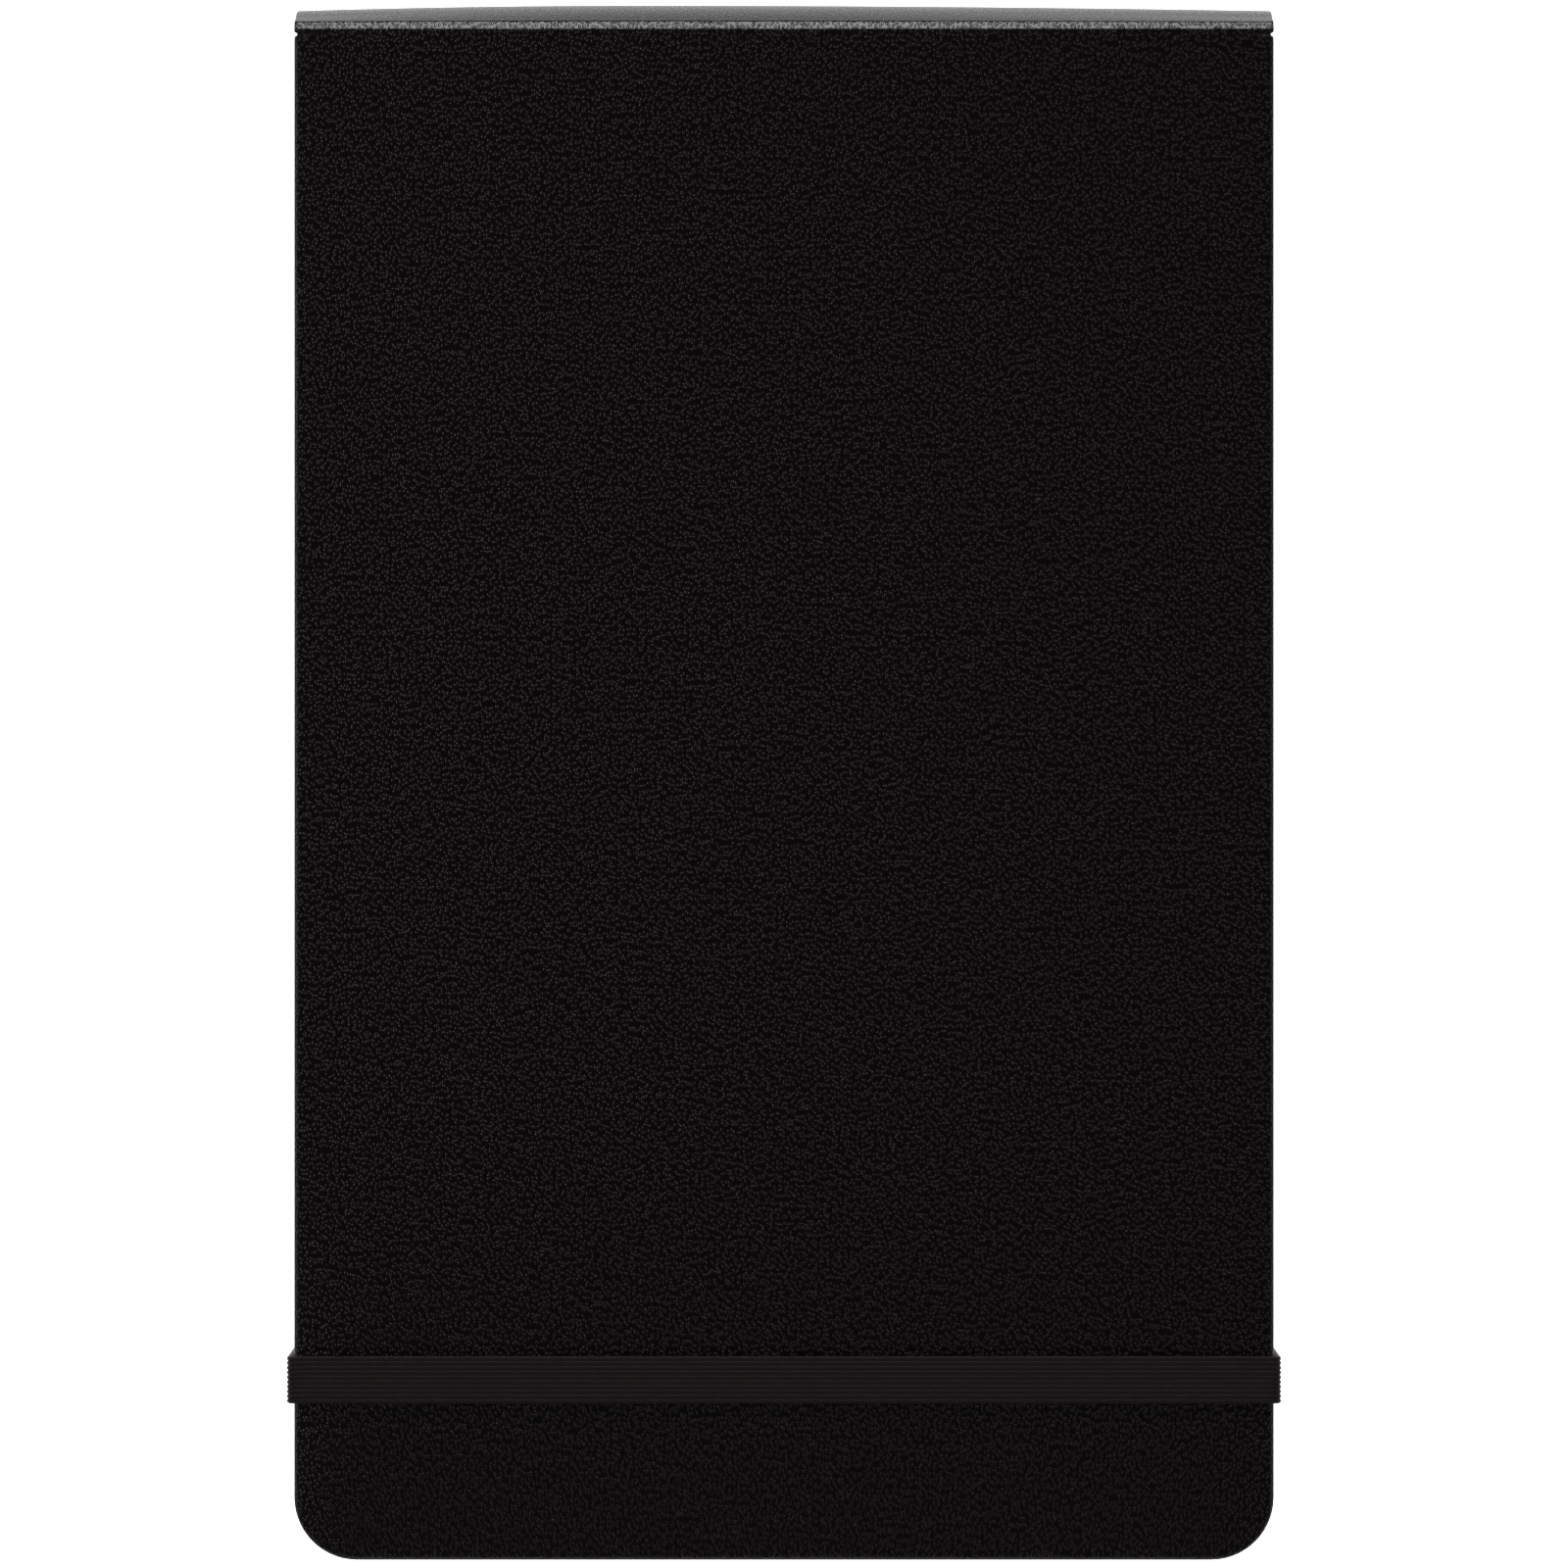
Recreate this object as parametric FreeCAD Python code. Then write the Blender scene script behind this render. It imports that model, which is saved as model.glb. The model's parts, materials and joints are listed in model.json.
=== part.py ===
import FreeCAD, Part
import math
import os

# Pocket notebook, bound along its top edge, with hard covers, a sewn paper block,
# an inner back pocket and an elastic band across the front.
# Millimetres. +X is the width, +Y points to the bound edge, +Z is up out of the front cover.
# The notebook lies on its back cover, with the origin under the middle of its outline.

# ---- cover case ----
cover_width = 89.0
cover_height = 140.0  # bottom edge to the outside of the joint rolls
cover_corner_radius = 5.7
cover_edge_radius = 0.4
covering_thickness = 0.25
board_thickness = 1.3
turn_in_width = 13.0
lining_clearance = 0.4
pastedown_thickness = 0.15
pastedown_inset = 1.6
joint_roll_radius = 1.0
joint_roll_wrap = 60.0  # degrees of turn from the board's face to the spine's curve
joint_board_gap = 0.4  # hinge axis to the head edge of a board
joint_strip_gap = 1.25  # hinge axis to the stiff part of the spine, along Z
spine_card_thickness = 0.5
spine_card_inset = 0.3

# ---- paper block ----
leaf_thickness = 0.09
leaves_per_signature = 8
leaves_in_first_signature = 5
signature_count = 12
turning_leaf_count = 3
flyleaf_thickness = 0.15
page_inset = 2.2  # paper edge to cover edge, at the sides and the bottom
page_corner_radius = 4.2
page_clearance = 0.02
cover_clearance = 0.05
fold_to_hinge = 0.5  # folded edges of the signatures to the hinge axes, along Y
stitch_diameter = 0.24
stitch_length = 12.0
stitch_stations = 4
stitch_clearance = 0.01
backing_inset = 1.5
mull_thickness = 0.12
kraft_thickness = 0.12

# ---- back pocket ----
pocket_sheet_thickness = 0.2
pocket_space = 0.3
pocket_hem_thickness = 0.1
pocket_hem_width = 8.0
pocket_depth = 96.0
pocket_bottom_inset = 3.6
pocket_side_inset = 3.4
pocket_gusset_width = 4.0
pocket_gusset_clearance = 0.03
pocket_root_clearance = 0.15
pocket_top_clearance = 0.07

# ---- elastic band ----
elastic_width = 4.3
elastic_thickness = 0.6
elastic_height = 16.4  # bottom edge of the covers to the middle of the band
elastic_side_gap = 0.05
elastic_edge_radius = 0.5
elastic_imprint = 0.1  # how deep the tails press into the back covering
elastic_slot_inset = 6.5  # cover edge to the middle of the slot that takes the tail
elastic_slot_clearance = 0.05
elastic_anchor_length = 9.0
elastic_anchor_thickness = 0.4

# ---- heights of the layers, from the lowest face up ----
overrun = 1.0  # how far a cutting body runs past what it cuts
cover_thickness = 2.0 * covering_thickness + board_thickness + pastedown_thickness
back_face_z = elastic_thickness - elastic_imprint
pocket_z = back_face_z + cover_thickness
pocket_panel_z = pocket_z + pocket_sheet_thickness + pocket_space
pocket_hem_z = pocket_panel_z + pocket_sheet_thickness
back_flyleaf_z = pocket_hem_z + pocket_hem_thickness + pocket_top_clearance
block_z = back_flyleaf_z + flyleaf_thickness + page_clearance
signature_thickness = leaves_per_signature * leaf_thickness
first_signature_thickness = leaves_in_first_signature * leaf_thickness
first_signature_z = block_z + (signature_count - 1) * signature_thickness
block_top_z = first_signature_z + first_signature_thickness
turning_leaf_pitch = leaf_thickness + page_clearance
front_flyleaf_z = block_top_z + turning_leaf_count * turning_leaf_pitch + page_clearance
front_inner_z = front_flyleaf_z + flyleaf_thickness + cover_clearance
front_face_z = front_inner_z + cover_thickness

# ---- plan positions ----
hinge_front_z = front_face_z - joint_roll_radius
hinge_back_z = back_face_z + joint_roll_radius
hinge_span = hinge_front_z - hinge_back_z
spine_middle_z = 0.5 * (hinge_front_z + hinge_back_z)
# The spine's curve is tangent to both joint rolls, so its centre lies on the line
# through a roll's centre and the end of that roll's wrap.
wrap_end = math.radians(90.0 - joint_roll_wrap)
spine_centre_reach = 0.5 * hinge_span / math.sin(wrap_end)
spine_radius = spine_centre_reach + joint_roll_radius
spine_bulge = spine_centre_reach * (1.0 - math.cos(wrap_end))
bottom_y = -0.5 * (cover_height + spine_bulge)
hinge_y = bottom_y + cover_height - joint_roll_radius
spine_centre_y = hinge_y - spine_centre_reach * math.cos(wrap_end)
board_head_y = hinge_y - joint_board_gap
cover_half_width = 0.5 * cover_width
page_half_width = cover_half_width - page_inset
page_bottom_y = bottom_y + page_inset
page_head_y = hinge_y - fold_to_hinge
elastic_y = bottom_y + elastic_height
elastic_inner_x = cover_half_width + elastic_side_gap
elastic_slot_x = cover_half_width - elastic_slot_inset
pocket_fold_y = bottom_y + pocket_bottom_inset
pocket_fold_z = pocket_z + pocket_sheet_thickness + 0.5 * pocket_space
pocket_half_width = cover_half_width - pocket_side_inset
pocket_mouth_y = pocket_fold_y + pocket_depth

# A cover's layers are counted inward from its outer face.
board_depth = covering_thickness
turn_in_depth = board_depth + board_thickness
pastedown_depth = turn_in_depth + covering_thickness
BACK = (back_face_z, 1.0)
FRONT = (front_face_z, -1.0)


# ---- basic shapes ----
def box(low, high):
    """A box between two opposite corners."""
    size = [high[i] - low[i] for i in range(3)]
    return Part.makeBox(size[0], size[1], size[2], FreeCAD.Vector(*low))


def plate(half_width, low_y, high_y, corner_radius, z_range):
    """A flat sheet, square at its head, with its two bottom corners rounded."""
    sheet = box((-half_width, low_y, z_range[0]), (half_width, high_y, z_range[1]))
    corners = []
    for edge in sheet.Edges:
        upright = edge.BoundBox.ZLength > 0.5 * (z_range[1] - z_range[0])
        if upright and edge.BoundBox.YMax < 0.5 * (low_y + high_y):
            corners.append(edge)
    return sheet.makeFillet(corner_radius, corners)


def layer(cover, depth, thickness):
    """Low and high z of a layer that starts depth in from a cover's outer face."""
    face_z, inward = cover
    ends = (face_z + inward * depth, face_z + inward * (depth + thickness))
    return min(ends), max(ends)


def extrude_profile(edges, half_width):
    """A solid with its YZ outline given by edges at x = 0, as wide as the object there."""
    face = Part.Face(Part.Wire(edges))
    face.translate(FreeCAD.Vector(-half_width, 0, 0))
    return face.extrude(FreeCAD.Vector(2.0 * half_width, 0, 0))


def polar(centre_y, centre_z, radius, angle):
    """The point at an angle, in radians from +Y towards +Z, on a circle in the YZ plane."""
    return FreeCAD.Vector(
        0, centre_y + radius * math.cos(angle), centre_z + radius * math.sin(angle)
    )


def arc(centre_y, centre_z, radius, start, end):
    """A circular arc in the YZ plane, between two angles in radians."""
    angles = (start, 0.5 * (start + end), end)
    points = [polar(centre_y, centre_z, radius, angle) for angle in angles]
    return Part.Arc(*points).toShape()


def line(start, end):
    return Part.LineSegment(start, end).toShape()


def mirror_z(shape):
    """The same shape seen from the other cover's side."""
    return shape.mirror(FreeCAD.Vector(0, 0, spine_middle_z), FreeCAD.Vector(0, 0, 1))


# ---- covers ----
def round_rim(skin):
    """Softens the outline of a cover on both faces, but not along its head edge."""
    rim = []
    for edge in skin.Edges:
        flat = edge.BoundBox.ZLength < 0.5 * cover_edge_radius
        at_head = edge.BoundBox.YMin > board_head_y - cover_edge_radius
        if flat and not at_head:
            rim.append(edge)
    return skin.makeFillet(cover_edge_radius, rim)


def cover_sheet(inset, head_y, z_range):
    """A sheet with a cover's outline, drawn in by an inset on three sides."""
    return plate(
        cover_half_width - inset, bottom_y + inset, head_y, cover_corner_radius - inset, z_range
    )


def turn_in_window(clearance):
    """Half width and bottom edge of the area that the turn-ins leave open, less a clearance."""
    inset = covering_thickness + turn_in_width + clearance
    return cover_half_width - inset, bottom_y + inset


def covering(cover):
    """Covering material: outer skin, wrapped edges and the turn-ins on three sides."""
    skin = round_rim(cover_sheet(0.0, board_head_y, layer(cover, 0.0, pastedown_depth)))
    core_range = layer(cover, board_depth, board_thickness)
    core = cover_sheet(covering_thickness, board_head_y + overrun, core_range)
    half_width, low_y = turn_in_window(0.0)
    z_range = layer(cover, turn_in_depth, covering_thickness)
    window = box((-half_width, low_y, z_range[0]), (half_width, board_head_y + overrun, z_range[1]))
    return skin.cut(core).cut(window)


def board(cover):
    return cover_sheet(
        covering_thickness, board_head_y, layer(cover, board_depth, board_thickness)
    )


def lining_card(cover):
    """Card that fills the space between the turn-ins, level with them."""
    half_width, low_y = turn_in_window(lining_clearance)
    z_range = layer(cover, turn_in_depth, covering_thickness)
    return box((-half_width, low_y, z_range[0]), (half_width, board_head_y, z_range[1]))


def pastedown(cover):
    return cover_sheet(
        pastedown_inset, board_head_y, layer(cover, pastedown_depth, pastedown_thickness)
    )


# ---- spine ----
def spine_cylinder(radius, half_width):
    """A cylinder on the axis of the spine's curve."""
    start = FreeCAD.Vector(-half_width, spine_centre_y, spine_middle_z)
    return Part.makeCylinder(radius, 2.0 * half_width, start, FreeCAD.Vector(1, 0, 0))


def spine_shell(outer_radius, thickness, half_width, end_gap):
    """A band of the spine's curve that stops a gap short of both hinge axes, along Z."""
    tube = spine_cylinder(outer_radius, half_width)
    bore = spine_cylinder(outer_radius - thickness, half_width + overrun)
    low = (-half_width, spine_centre_y, hinge_back_z + end_gap)
    high = (half_width, spine_centre_y + 2.0 * outer_radius, hinge_front_z - end_gap)
    return tube.cut(bore).common(box(low, high))


def spine_covering():
    return spine_shell(spine_radius, covering_thickness, cover_half_width, joint_strip_gap)


def spine_strip():
    """Stiff card that shapes the rounded spine, inside the covering."""
    return spine_shell(
        spine_radius - covering_thickness,
        spine_card_thickness,
        cover_half_width - covering_thickness,
        joint_strip_gap + spine_card_inset,
    )


def joint_cloth():
    """Flexible covering of the front joint: flat, round the roll, then along the spine."""
    outer = joint_roll_radius
    inner = joint_roll_radius - covering_thickness
    low_z = hinge_front_z - joint_strip_gap
    upright = math.radians(90.0)

    def spine_angle(radius):
        return math.asin((low_z - spine_middle_z) / radius)

    far = spine_radius
    near = spine_radius - covering_thickness
    head = FreeCAD.Vector(0, board_head_y, hinge_front_z + outer)
    foot = FreeCAD.Vector(0, board_head_y, hinge_front_z + inner)
    roll_outer = polar(hinge_y, hinge_front_z, outer, upright)
    roll_inner = polar(hinge_y, hinge_front_z, inner, upright)
    end_outer = polar(spine_centre_y, spine_middle_z, far, spine_angle(far))
    end_inner = polar(spine_centre_y, spine_middle_z, near, spine_angle(near))
    edges = [
        line(foot, head),
        line(head, roll_outer),
        arc(hinge_y, hinge_front_z, outer, upright, wrap_end),
        arc(spine_centre_y, spine_middle_z, far, wrap_end, spine_angle(far)),
        line(end_outer, end_inner),
        arc(spine_centre_y, spine_middle_z, near, spine_angle(near), wrap_end),
        arc(hinge_y, hinge_front_z, inner, wrap_end, upright),
        line(roll_inner, foot),
    ]
    return extrude_profile(edges, cover_half_width)


# ---- paper block ----
def page_sheet(low_z, thickness):
    return plate(
        page_half_width, page_bottom_y, page_head_y, page_corner_radius, (low_z, low_z + thickness)
    )


def signature(low_z, thickness):
    """Folded leaves: a page-shaped slab whose bound edge is the round of the fold."""
    radius = 0.5 * thickness
    fold_y = page_head_y - radius
    fold_z = low_z + radius
    quarter = math.radians(90.0)
    low_start = FreeCAD.Vector(0, page_bottom_y, low_z)
    high_start = FreeCAD.Vector(0, page_bottom_y, low_z + thickness)
    edges = [
        line(low_start, polar(fold_y, fold_z, radius, -quarter)),
        arc(fold_y, fold_z, radius, -quarter, quarter),
        line(polar(fold_y, fold_z, radius, quarter), high_start),
        line(high_start, low_start),
    ]
    return page_sheet(low_z, thickness).common(extrude_profile(edges, page_half_width))


def stitch_offset(fold_radius):
    """How far past the folds a stitch's middle lies when it rests in their valley."""
    thread_radius = 0.5 * stitch_diameter
    reach = math.sqrt((fold_radius + thread_radius) ** 2 - fold_radius**2)
    return reach - fold_radius + stitch_clearance


shallow_stitch_offset = stitch_offset(0.5 * first_signature_thickness)
mull_y = page_head_y + shallow_stitch_offset + 0.5 * stitch_diameter + stitch_clearance
kraft_y = mull_y + mull_thickness


def sewing_thread():
    """Stitches that show in each valley between two signatures."""
    pitch = 2.0 * page_half_width / stitch_stations
    stitches = []
    for valley in range(1, signature_count):
        valley_z = block_z + valley * signature_thickness
        offset = stitch_offset(0.5 * signature_thickness)
        if valley == signature_count - 1:
            offset = shallow_stitch_offset
        for station in range(stitch_stations):
            start_x = -page_half_width + (station + 0.5) * pitch - 0.5 * stitch_length
            start = FreeCAD.Vector(start_x, page_head_y + offset, valley_z)
            stitches.append(
                Part.makeCylinder(
                    0.5 * stitch_diameter, stitch_length, start, FreeCAD.Vector(1, 0, 0)
                )
            )
    return Part.makeCompound(stitches)


def backing(low_y, thickness):
    """A layer glued down the block's folded edges."""
    half_width = page_half_width - backing_inset
    return box((-half_width, low_y, block_z), (half_width, low_y + thickness, block_top_z))


# ---- back pocket ----
def pocket_base():
    """Pocket sheet glued to the back pastedown, with the round fold along its bottom."""
    outer = 0.5 * pocket_space + pocket_sheet_thickness
    inner = 0.5 * pocket_space
    quarter = math.radians(90.0)
    top_z = pocket_z + pocket_sheet_thickness
    end_low = FreeCAD.Vector(0, pocket_mouth_y, pocket_z)
    end_high = FreeCAD.Vector(0, pocket_mouth_y, top_z)
    fold_top = FreeCAD.Vector(0, pocket_fold_y, pocket_fold_z + outer)
    fold_under = FreeCAD.Vector(0, pocket_fold_y, pocket_fold_z + inner)
    edges = [
        arc(pocket_fold_y, pocket_fold_z, outer, quarter, 3.0 * quarter),
        line(polar(pocket_fold_y, pocket_fold_z, outer, 3.0 * quarter), end_low),
        line(end_low, end_high),
        line(end_high, polar(pocket_fold_y, pocket_fold_z, inner, 3.0 * quarter)),
        arc(pocket_fold_y, pocket_fold_z, inner, 3.0 * quarter, quarter),
        line(fold_under, fold_top),
    ]
    return extrude_profile(edges, pocket_half_width)


def pocket_panel():
    start_y = pocket_fold_y + pocket_root_clearance
    low = (-pocket_half_width, start_y, pocket_panel_z)
    return box(low, (pocket_half_width, pocket_mouth_y, pocket_hem_z))


def pocket_hem():
    """Cloth tape along the pocket's mouth."""
    low = (-pocket_half_width, pocket_mouth_y - pocket_hem_width, pocket_hem_z)
    return box(low, (pocket_half_width, pocket_mouth_y, pocket_hem_z + pocket_hem_thickness))


def pocket_gusset(side):
    """Cloth side of the pocket, folded flat between its two sheets."""
    outer_x = side * pocket_half_width
    inner_x = side * (pocket_half_width - pocket_gusset_width)
    low_z = pocket_z + pocket_sheet_thickness + pocket_gusset_clearance
    low = (min(outer_x, inner_x), pocket_fold_y + pocket_root_clearance, low_z)
    high = (max(outer_x, inner_x), pocket_mouth_y, pocket_panel_z - pocket_gusset_clearance)
    return box(low, high)


# ---- elastic band ----
def elastic_run(x_range, z_range, clearance=0.0):
    """A straight piece of the band, or the space for one."""
    half = 0.5 * elastic_width + clearance
    return box(
        (min(x_range), elastic_y - half, z_range[0]), (max(x_range), elastic_y + half, z_range[1])
    )


anchor_z = (
    layer(BACK, board_depth, board_thickness)[1] - elastic_anchor_thickness,
    layer(BACK, board_depth, board_thickness)[1],
)
slot_outer_x = elastic_slot_x + 0.5 * elastic_thickness
slot_inner_x = elastic_slot_x - 0.5 * elastic_thickness
anchor_end_x = slot_inner_x - elastic_anchor_length


def elastic_tail(side):
    """End of the band: along the back, through the slot, then flat inside the board."""
    outside = elastic_run((side * slot_inner_x, side * elastic_inner_x), (0.0, elastic_thickness))
    riser = elastic_run((side * slot_inner_x, side * slot_outer_x), (0.0, anchor_z[1]))
    anchor = elastic_run((side * anchor_end_x, side * slot_outer_x), anchor_z)
    return outside.fuse(riser).fuse(anchor).removeSplitter()


def elastic_passages(side):
    """The slot through the back cover and the recess for the anchored end."""
    gap = elastic_slot_clearance
    slot_x = (side * (slot_inner_x - gap), side * (slot_outer_x + gap))
    anchor_x = (side * (anchor_end_x - gap), side * (slot_outer_x + gap))
    slot = elastic_run(slot_x, (back_face_z - overrun, anchor_z[1]), gap)
    recess = elastic_run(anchor_x, anchor_z, gap)
    return slot.fuse(recess)


def elastic_groove(side):
    """The shallow mark that a tail presses into the back covering."""
    x_range = (side * slot_inner_x, side * (elastic_inner_x + overrun))
    z_range = (back_face_z - overrun, back_face_z + elastic_imprint)
    return elastic_run(x_range, z_range, elastic_slot_clearance)


def back_covering():
    shape = covering(BACK)
    for side in (-1.0, 1.0):
        shape = shape.cut(elastic_groove(side)).cut(elastic_passages(side))
    return shape


def back_board():
    shape = board(BACK)
    for side in (-1.0, 1.0):
        shape = shape.cut(elastic_passages(side))
    return shape


def elastic_leg(side):
    """Side of the band, round the edges of the closed notebook."""
    outer_x = elastic_inner_x + elastic_thickness
    top_z = front_face_z + elastic_thickness
    leg = elastic_run((side * elastic_inner_x, side * outer_x), (0.0, top_z))
    bends = []
    for edge in leg.Edges:
        along_y = edge.BoundBox.YLength > 0.5 * elastic_width
        if along_y and abs(edge.CenterOfMass.x) > outer_x - 0.5 * elastic_thickness:
            bends.append(edge)
    return leg.makeFillet(elastic_edge_radius, bends)


def elastic_front_span():
    x_range = (-elastic_inner_x, elastic_inner_x)
    return elastic_run(x_range, (front_face_z, front_face_z + elastic_thickness))


# ---- the pieces ----
def cover_pieces():
    return {
        "back_covering": back_covering(),
        "back_board": back_board(),
        "back_lining_card": lining_card(BACK),
        "back_pastedown": pastedown(BACK),
        "front_covering": covering(FRONT),
        "front_board": board(FRONT),
        "front_lining_card": lining_card(FRONT),
        "front_pastedown": pastedown(FRONT),
        "spine_covering": spine_covering(),
        "spine_strip": spine_strip(),
        "front_joint_cloth": joint_cloth(),
        "back_joint_cloth": mirror_z(joint_cloth()),
    }


def block_pieces():
    pieces = {
        "signature_01": signature(first_signature_z, first_signature_thickness),
        "back_flyleaf": page_sheet(back_flyleaf_z, flyleaf_thickness),
        "front_flyleaf": page_sheet(front_flyleaf_z, flyleaf_thickness),
        "sewing_thread": sewing_thread(),
        "spine_mull": backing(mull_y, mull_thickness),
        "spine_kraft_liner": backing(kraft_y, kraft_thickness),
    }
    for number in range(2, signature_count + 1):
        low_z = block_z + (signature_count - number) * signature_thickness
        pieces[f"signature_{number:02d}"] = signature(low_z, signature_thickness)
    for number in range(1, turning_leaf_count + 1):
        place = turning_leaf_count - number
        low_z = block_top_z + page_clearance + place * turning_leaf_pitch
        pieces[f"turning_leaf_{number}"] = page_sheet(low_z, leaf_thickness)
    return pieces


def pocket_pieces():
    return {
        "pocket_base": pocket_base(),
        "pocket_panel": pocket_panel(),
        "pocket_hem": pocket_hem(),
        "pocket_gusset_left": pocket_gusset(-1.0),
        "pocket_gusset_right": pocket_gusset(1.0),
    }


def elastic_pieces():
    return {
        "elastic_tail_left": elastic_tail(-1.0),
        "elastic_tail_right": elastic_tail(1.0),
        "elastic_leg_left": elastic_leg(-1.0),
        "elastic_leg_right": elastic_leg(1.0),
        "elastic_front_span": elastic_front_span(),
    }


def main():
    os.makedirs("parts", exist_ok=True)
    pieces = {}
    for group in (cover_pieces(), block_pieces(), pocket_pieces(), elastic_pieces()):
        pieces.update(group)
    for name, shape in pieces.items():
        shape.exportStep(f"parts/{name}.step")
        print(f"{name}: {len(shape.Solids)} solids, {shape.Volume:.2f} mm3, valid {shape.isValid()}")
    print(f"front hinge y {hinge_y:.4f} z {hinge_front_z:.4f}, back hinge z {hinge_back_z:.4f}")
    print(f"pocket fold y {pocket_fold_y:.4f} z {pocket_fold_z:.4f}, band middle y {elastic_y:.4f}")
    print(f"front face z {front_face_z:.4f}, back face z {back_face_z:.4f}, bottom y {bottom_y:.4f}")


main()
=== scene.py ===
import json
import logging
import math
import random
from dataclasses import dataclass
from enum import Enum
from typing import Iterable, Sequence

import bmesh
import bpy
from bmesh.types import BMEdge, BMesh, BMFace, BMVert
from bpy.types import Material, Node, NodeSocket, NodeTree, Object
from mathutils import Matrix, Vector


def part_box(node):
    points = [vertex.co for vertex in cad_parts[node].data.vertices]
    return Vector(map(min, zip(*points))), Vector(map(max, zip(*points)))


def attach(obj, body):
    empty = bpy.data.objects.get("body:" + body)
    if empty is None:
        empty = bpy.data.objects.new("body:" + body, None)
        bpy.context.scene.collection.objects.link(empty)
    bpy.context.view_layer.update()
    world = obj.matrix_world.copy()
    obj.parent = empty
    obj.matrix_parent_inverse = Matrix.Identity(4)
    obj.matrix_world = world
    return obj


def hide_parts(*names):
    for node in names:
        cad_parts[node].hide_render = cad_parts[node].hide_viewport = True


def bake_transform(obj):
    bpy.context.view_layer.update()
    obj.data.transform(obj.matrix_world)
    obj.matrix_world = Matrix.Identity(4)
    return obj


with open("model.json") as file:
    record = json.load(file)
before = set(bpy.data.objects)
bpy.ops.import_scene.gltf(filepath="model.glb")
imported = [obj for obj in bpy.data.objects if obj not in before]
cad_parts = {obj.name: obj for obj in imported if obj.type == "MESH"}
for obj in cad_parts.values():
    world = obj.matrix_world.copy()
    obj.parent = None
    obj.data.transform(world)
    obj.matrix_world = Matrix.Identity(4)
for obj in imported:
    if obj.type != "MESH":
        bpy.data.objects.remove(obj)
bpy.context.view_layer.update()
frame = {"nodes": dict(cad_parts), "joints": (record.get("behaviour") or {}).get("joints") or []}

# A top-bound pocket notebook: leatherette case, sewn paper block, back pocket and elastic band.
# Lengths are in millimetres in the classes and turned to metres when a mesh is finished.

MM = 0.001
LOG = logging.getLogger("notebook")
PAPER_CRISP = 40.0
FOLD_CRISP = 50.0
CORNER_FLATS = 10
WIDTH_CUTS = 16

Point = tuple[float, float, float]
Colour = tuple[float, float, float, float]


# ---------------------------------------------------------------- shared helpers
def to_linear(hex_colour: str) -> Colour:
    """Turn an sRGB hex colour into linear RGBA.

    Args:
        hex_colour: six hex digits, such as "1A1818".

    Returns:
        The linear red, green, blue and an alpha of 1.
    """
    channels = []
    for start in (0, 2, 4):
        value = int(hex_colour[start : start + 2], 16) / 255.0
        linear = value / 12.92 if value <= 0.04045 else ((value + 0.055) / 1.055) ** 2.4
        channels.append(linear)
    return (channels[0], channels[1], channels[2], 1.0)


def add_node(tree: NodeTree, kind: str, settings: dict | None = None, inputs: dict | None = None) -> Node:
    """Add one shader node with its settings, values and links.

    Args:
        tree: the material's node tree.
        kind: the node's type name after ShaderNode.
        settings: attributes to set on the node.
        inputs: input name or index to a value, or to the socket that feeds it.

    Returns:
        The new node.
    """
    node = tree.nodes.new(f"ShaderNode{kind}")
    for name, value in (settings or {}).items():
        setattr(node, name, value)
    for name, value in (inputs or {}).items():
        if isinstance(value, NodeSocket):
            tree.links.new(value, node.inputs[name])
        else:
            node.inputs[name].default_value = value
    return node


def smooth_step(low: float, high: float, value: float) -> float:
    """Ease from 0 at low to 1 at high.

    Args:
        low: where the ramp starts.
        high: where the ramp ends.
        value: the place to read.

    Returns:
        A number from 0 to 1.
    """
    t = min(max((value - low) / (high - low), 0.0), 1.0)
    return t * t * (3.0 - 2.0 * t)


def finish_mesh(bm: BMesh, name: str, material: Material, sharp_degrees: float = 35.0) -> Object:
    """Turn a bmesh in millimetres into a smooth-shaded object in metres at the origin.

    Args:
        bm: the finished mesh, freed here.
        name: the piece's name.
        material: its finish.
        sharp_degrees: edges that turn more than this stay crisp.

    Returns:
        The new object, linked to the scene.
    """
    bmesh.ops.scale(bm, vec=(MM, MM, MM), verts=bm.verts)
    for edge in bm.edges:
        if len(edge.link_faces) == 2:
            edge.smooth = edge.calc_face_angle(0.0) < math.radians(sharp_degrees)
    for face in bm.faces:
        face.smooth = True
    mesh = bpy.data.meshes.new(name)
    bm.to_mesh(mesh)
    bm.free()
    mesh.materials.append(material)
    piece = bpy.data.objects.new(name, mesh)
    bpy.context.scene.collection.objects.link(piece)
    return piece


def thicken(piece: Object, thickness: float, offset: float, sharp_degrees: float) -> None:
    """Give a sheet its real thickness, as plain closed geometry with crisp cut edges.

    Args:
        piece: the sheet.
        thickness: its thickness in millimetres.
        offset: -1 to thicken inward, 0 to thicken evenly.
        sharp_degrees: edges that turn more than this stay crisp.
    """
    shell = piece.modifiers.new("thickness", "SOLIDIFY")
    shell.thickness = thickness * MM
    shell.offset = offset
    shell.use_rim = True
    bpy.context.view_layer.update()
    settled = bpy.data.meshes.new_from_object(piece.evaluated_get(bpy.context.evaluated_depsgraph_get()))
    piece.modifiers.clear()
    flat_sheet = piece.data
    piece.data = settled
    bpy.data.meshes.remove(flat_sheet)
    settled.name = piece.name
    bm = bmesh.new()
    bm.from_mesh(settled)
    for edge in bm.edges:
        edge.smooth = edge.calc_face_angle(0.0) < math.radians(sharp_degrees)
    bm.to_mesh(settled)
    bm.free()


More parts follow.
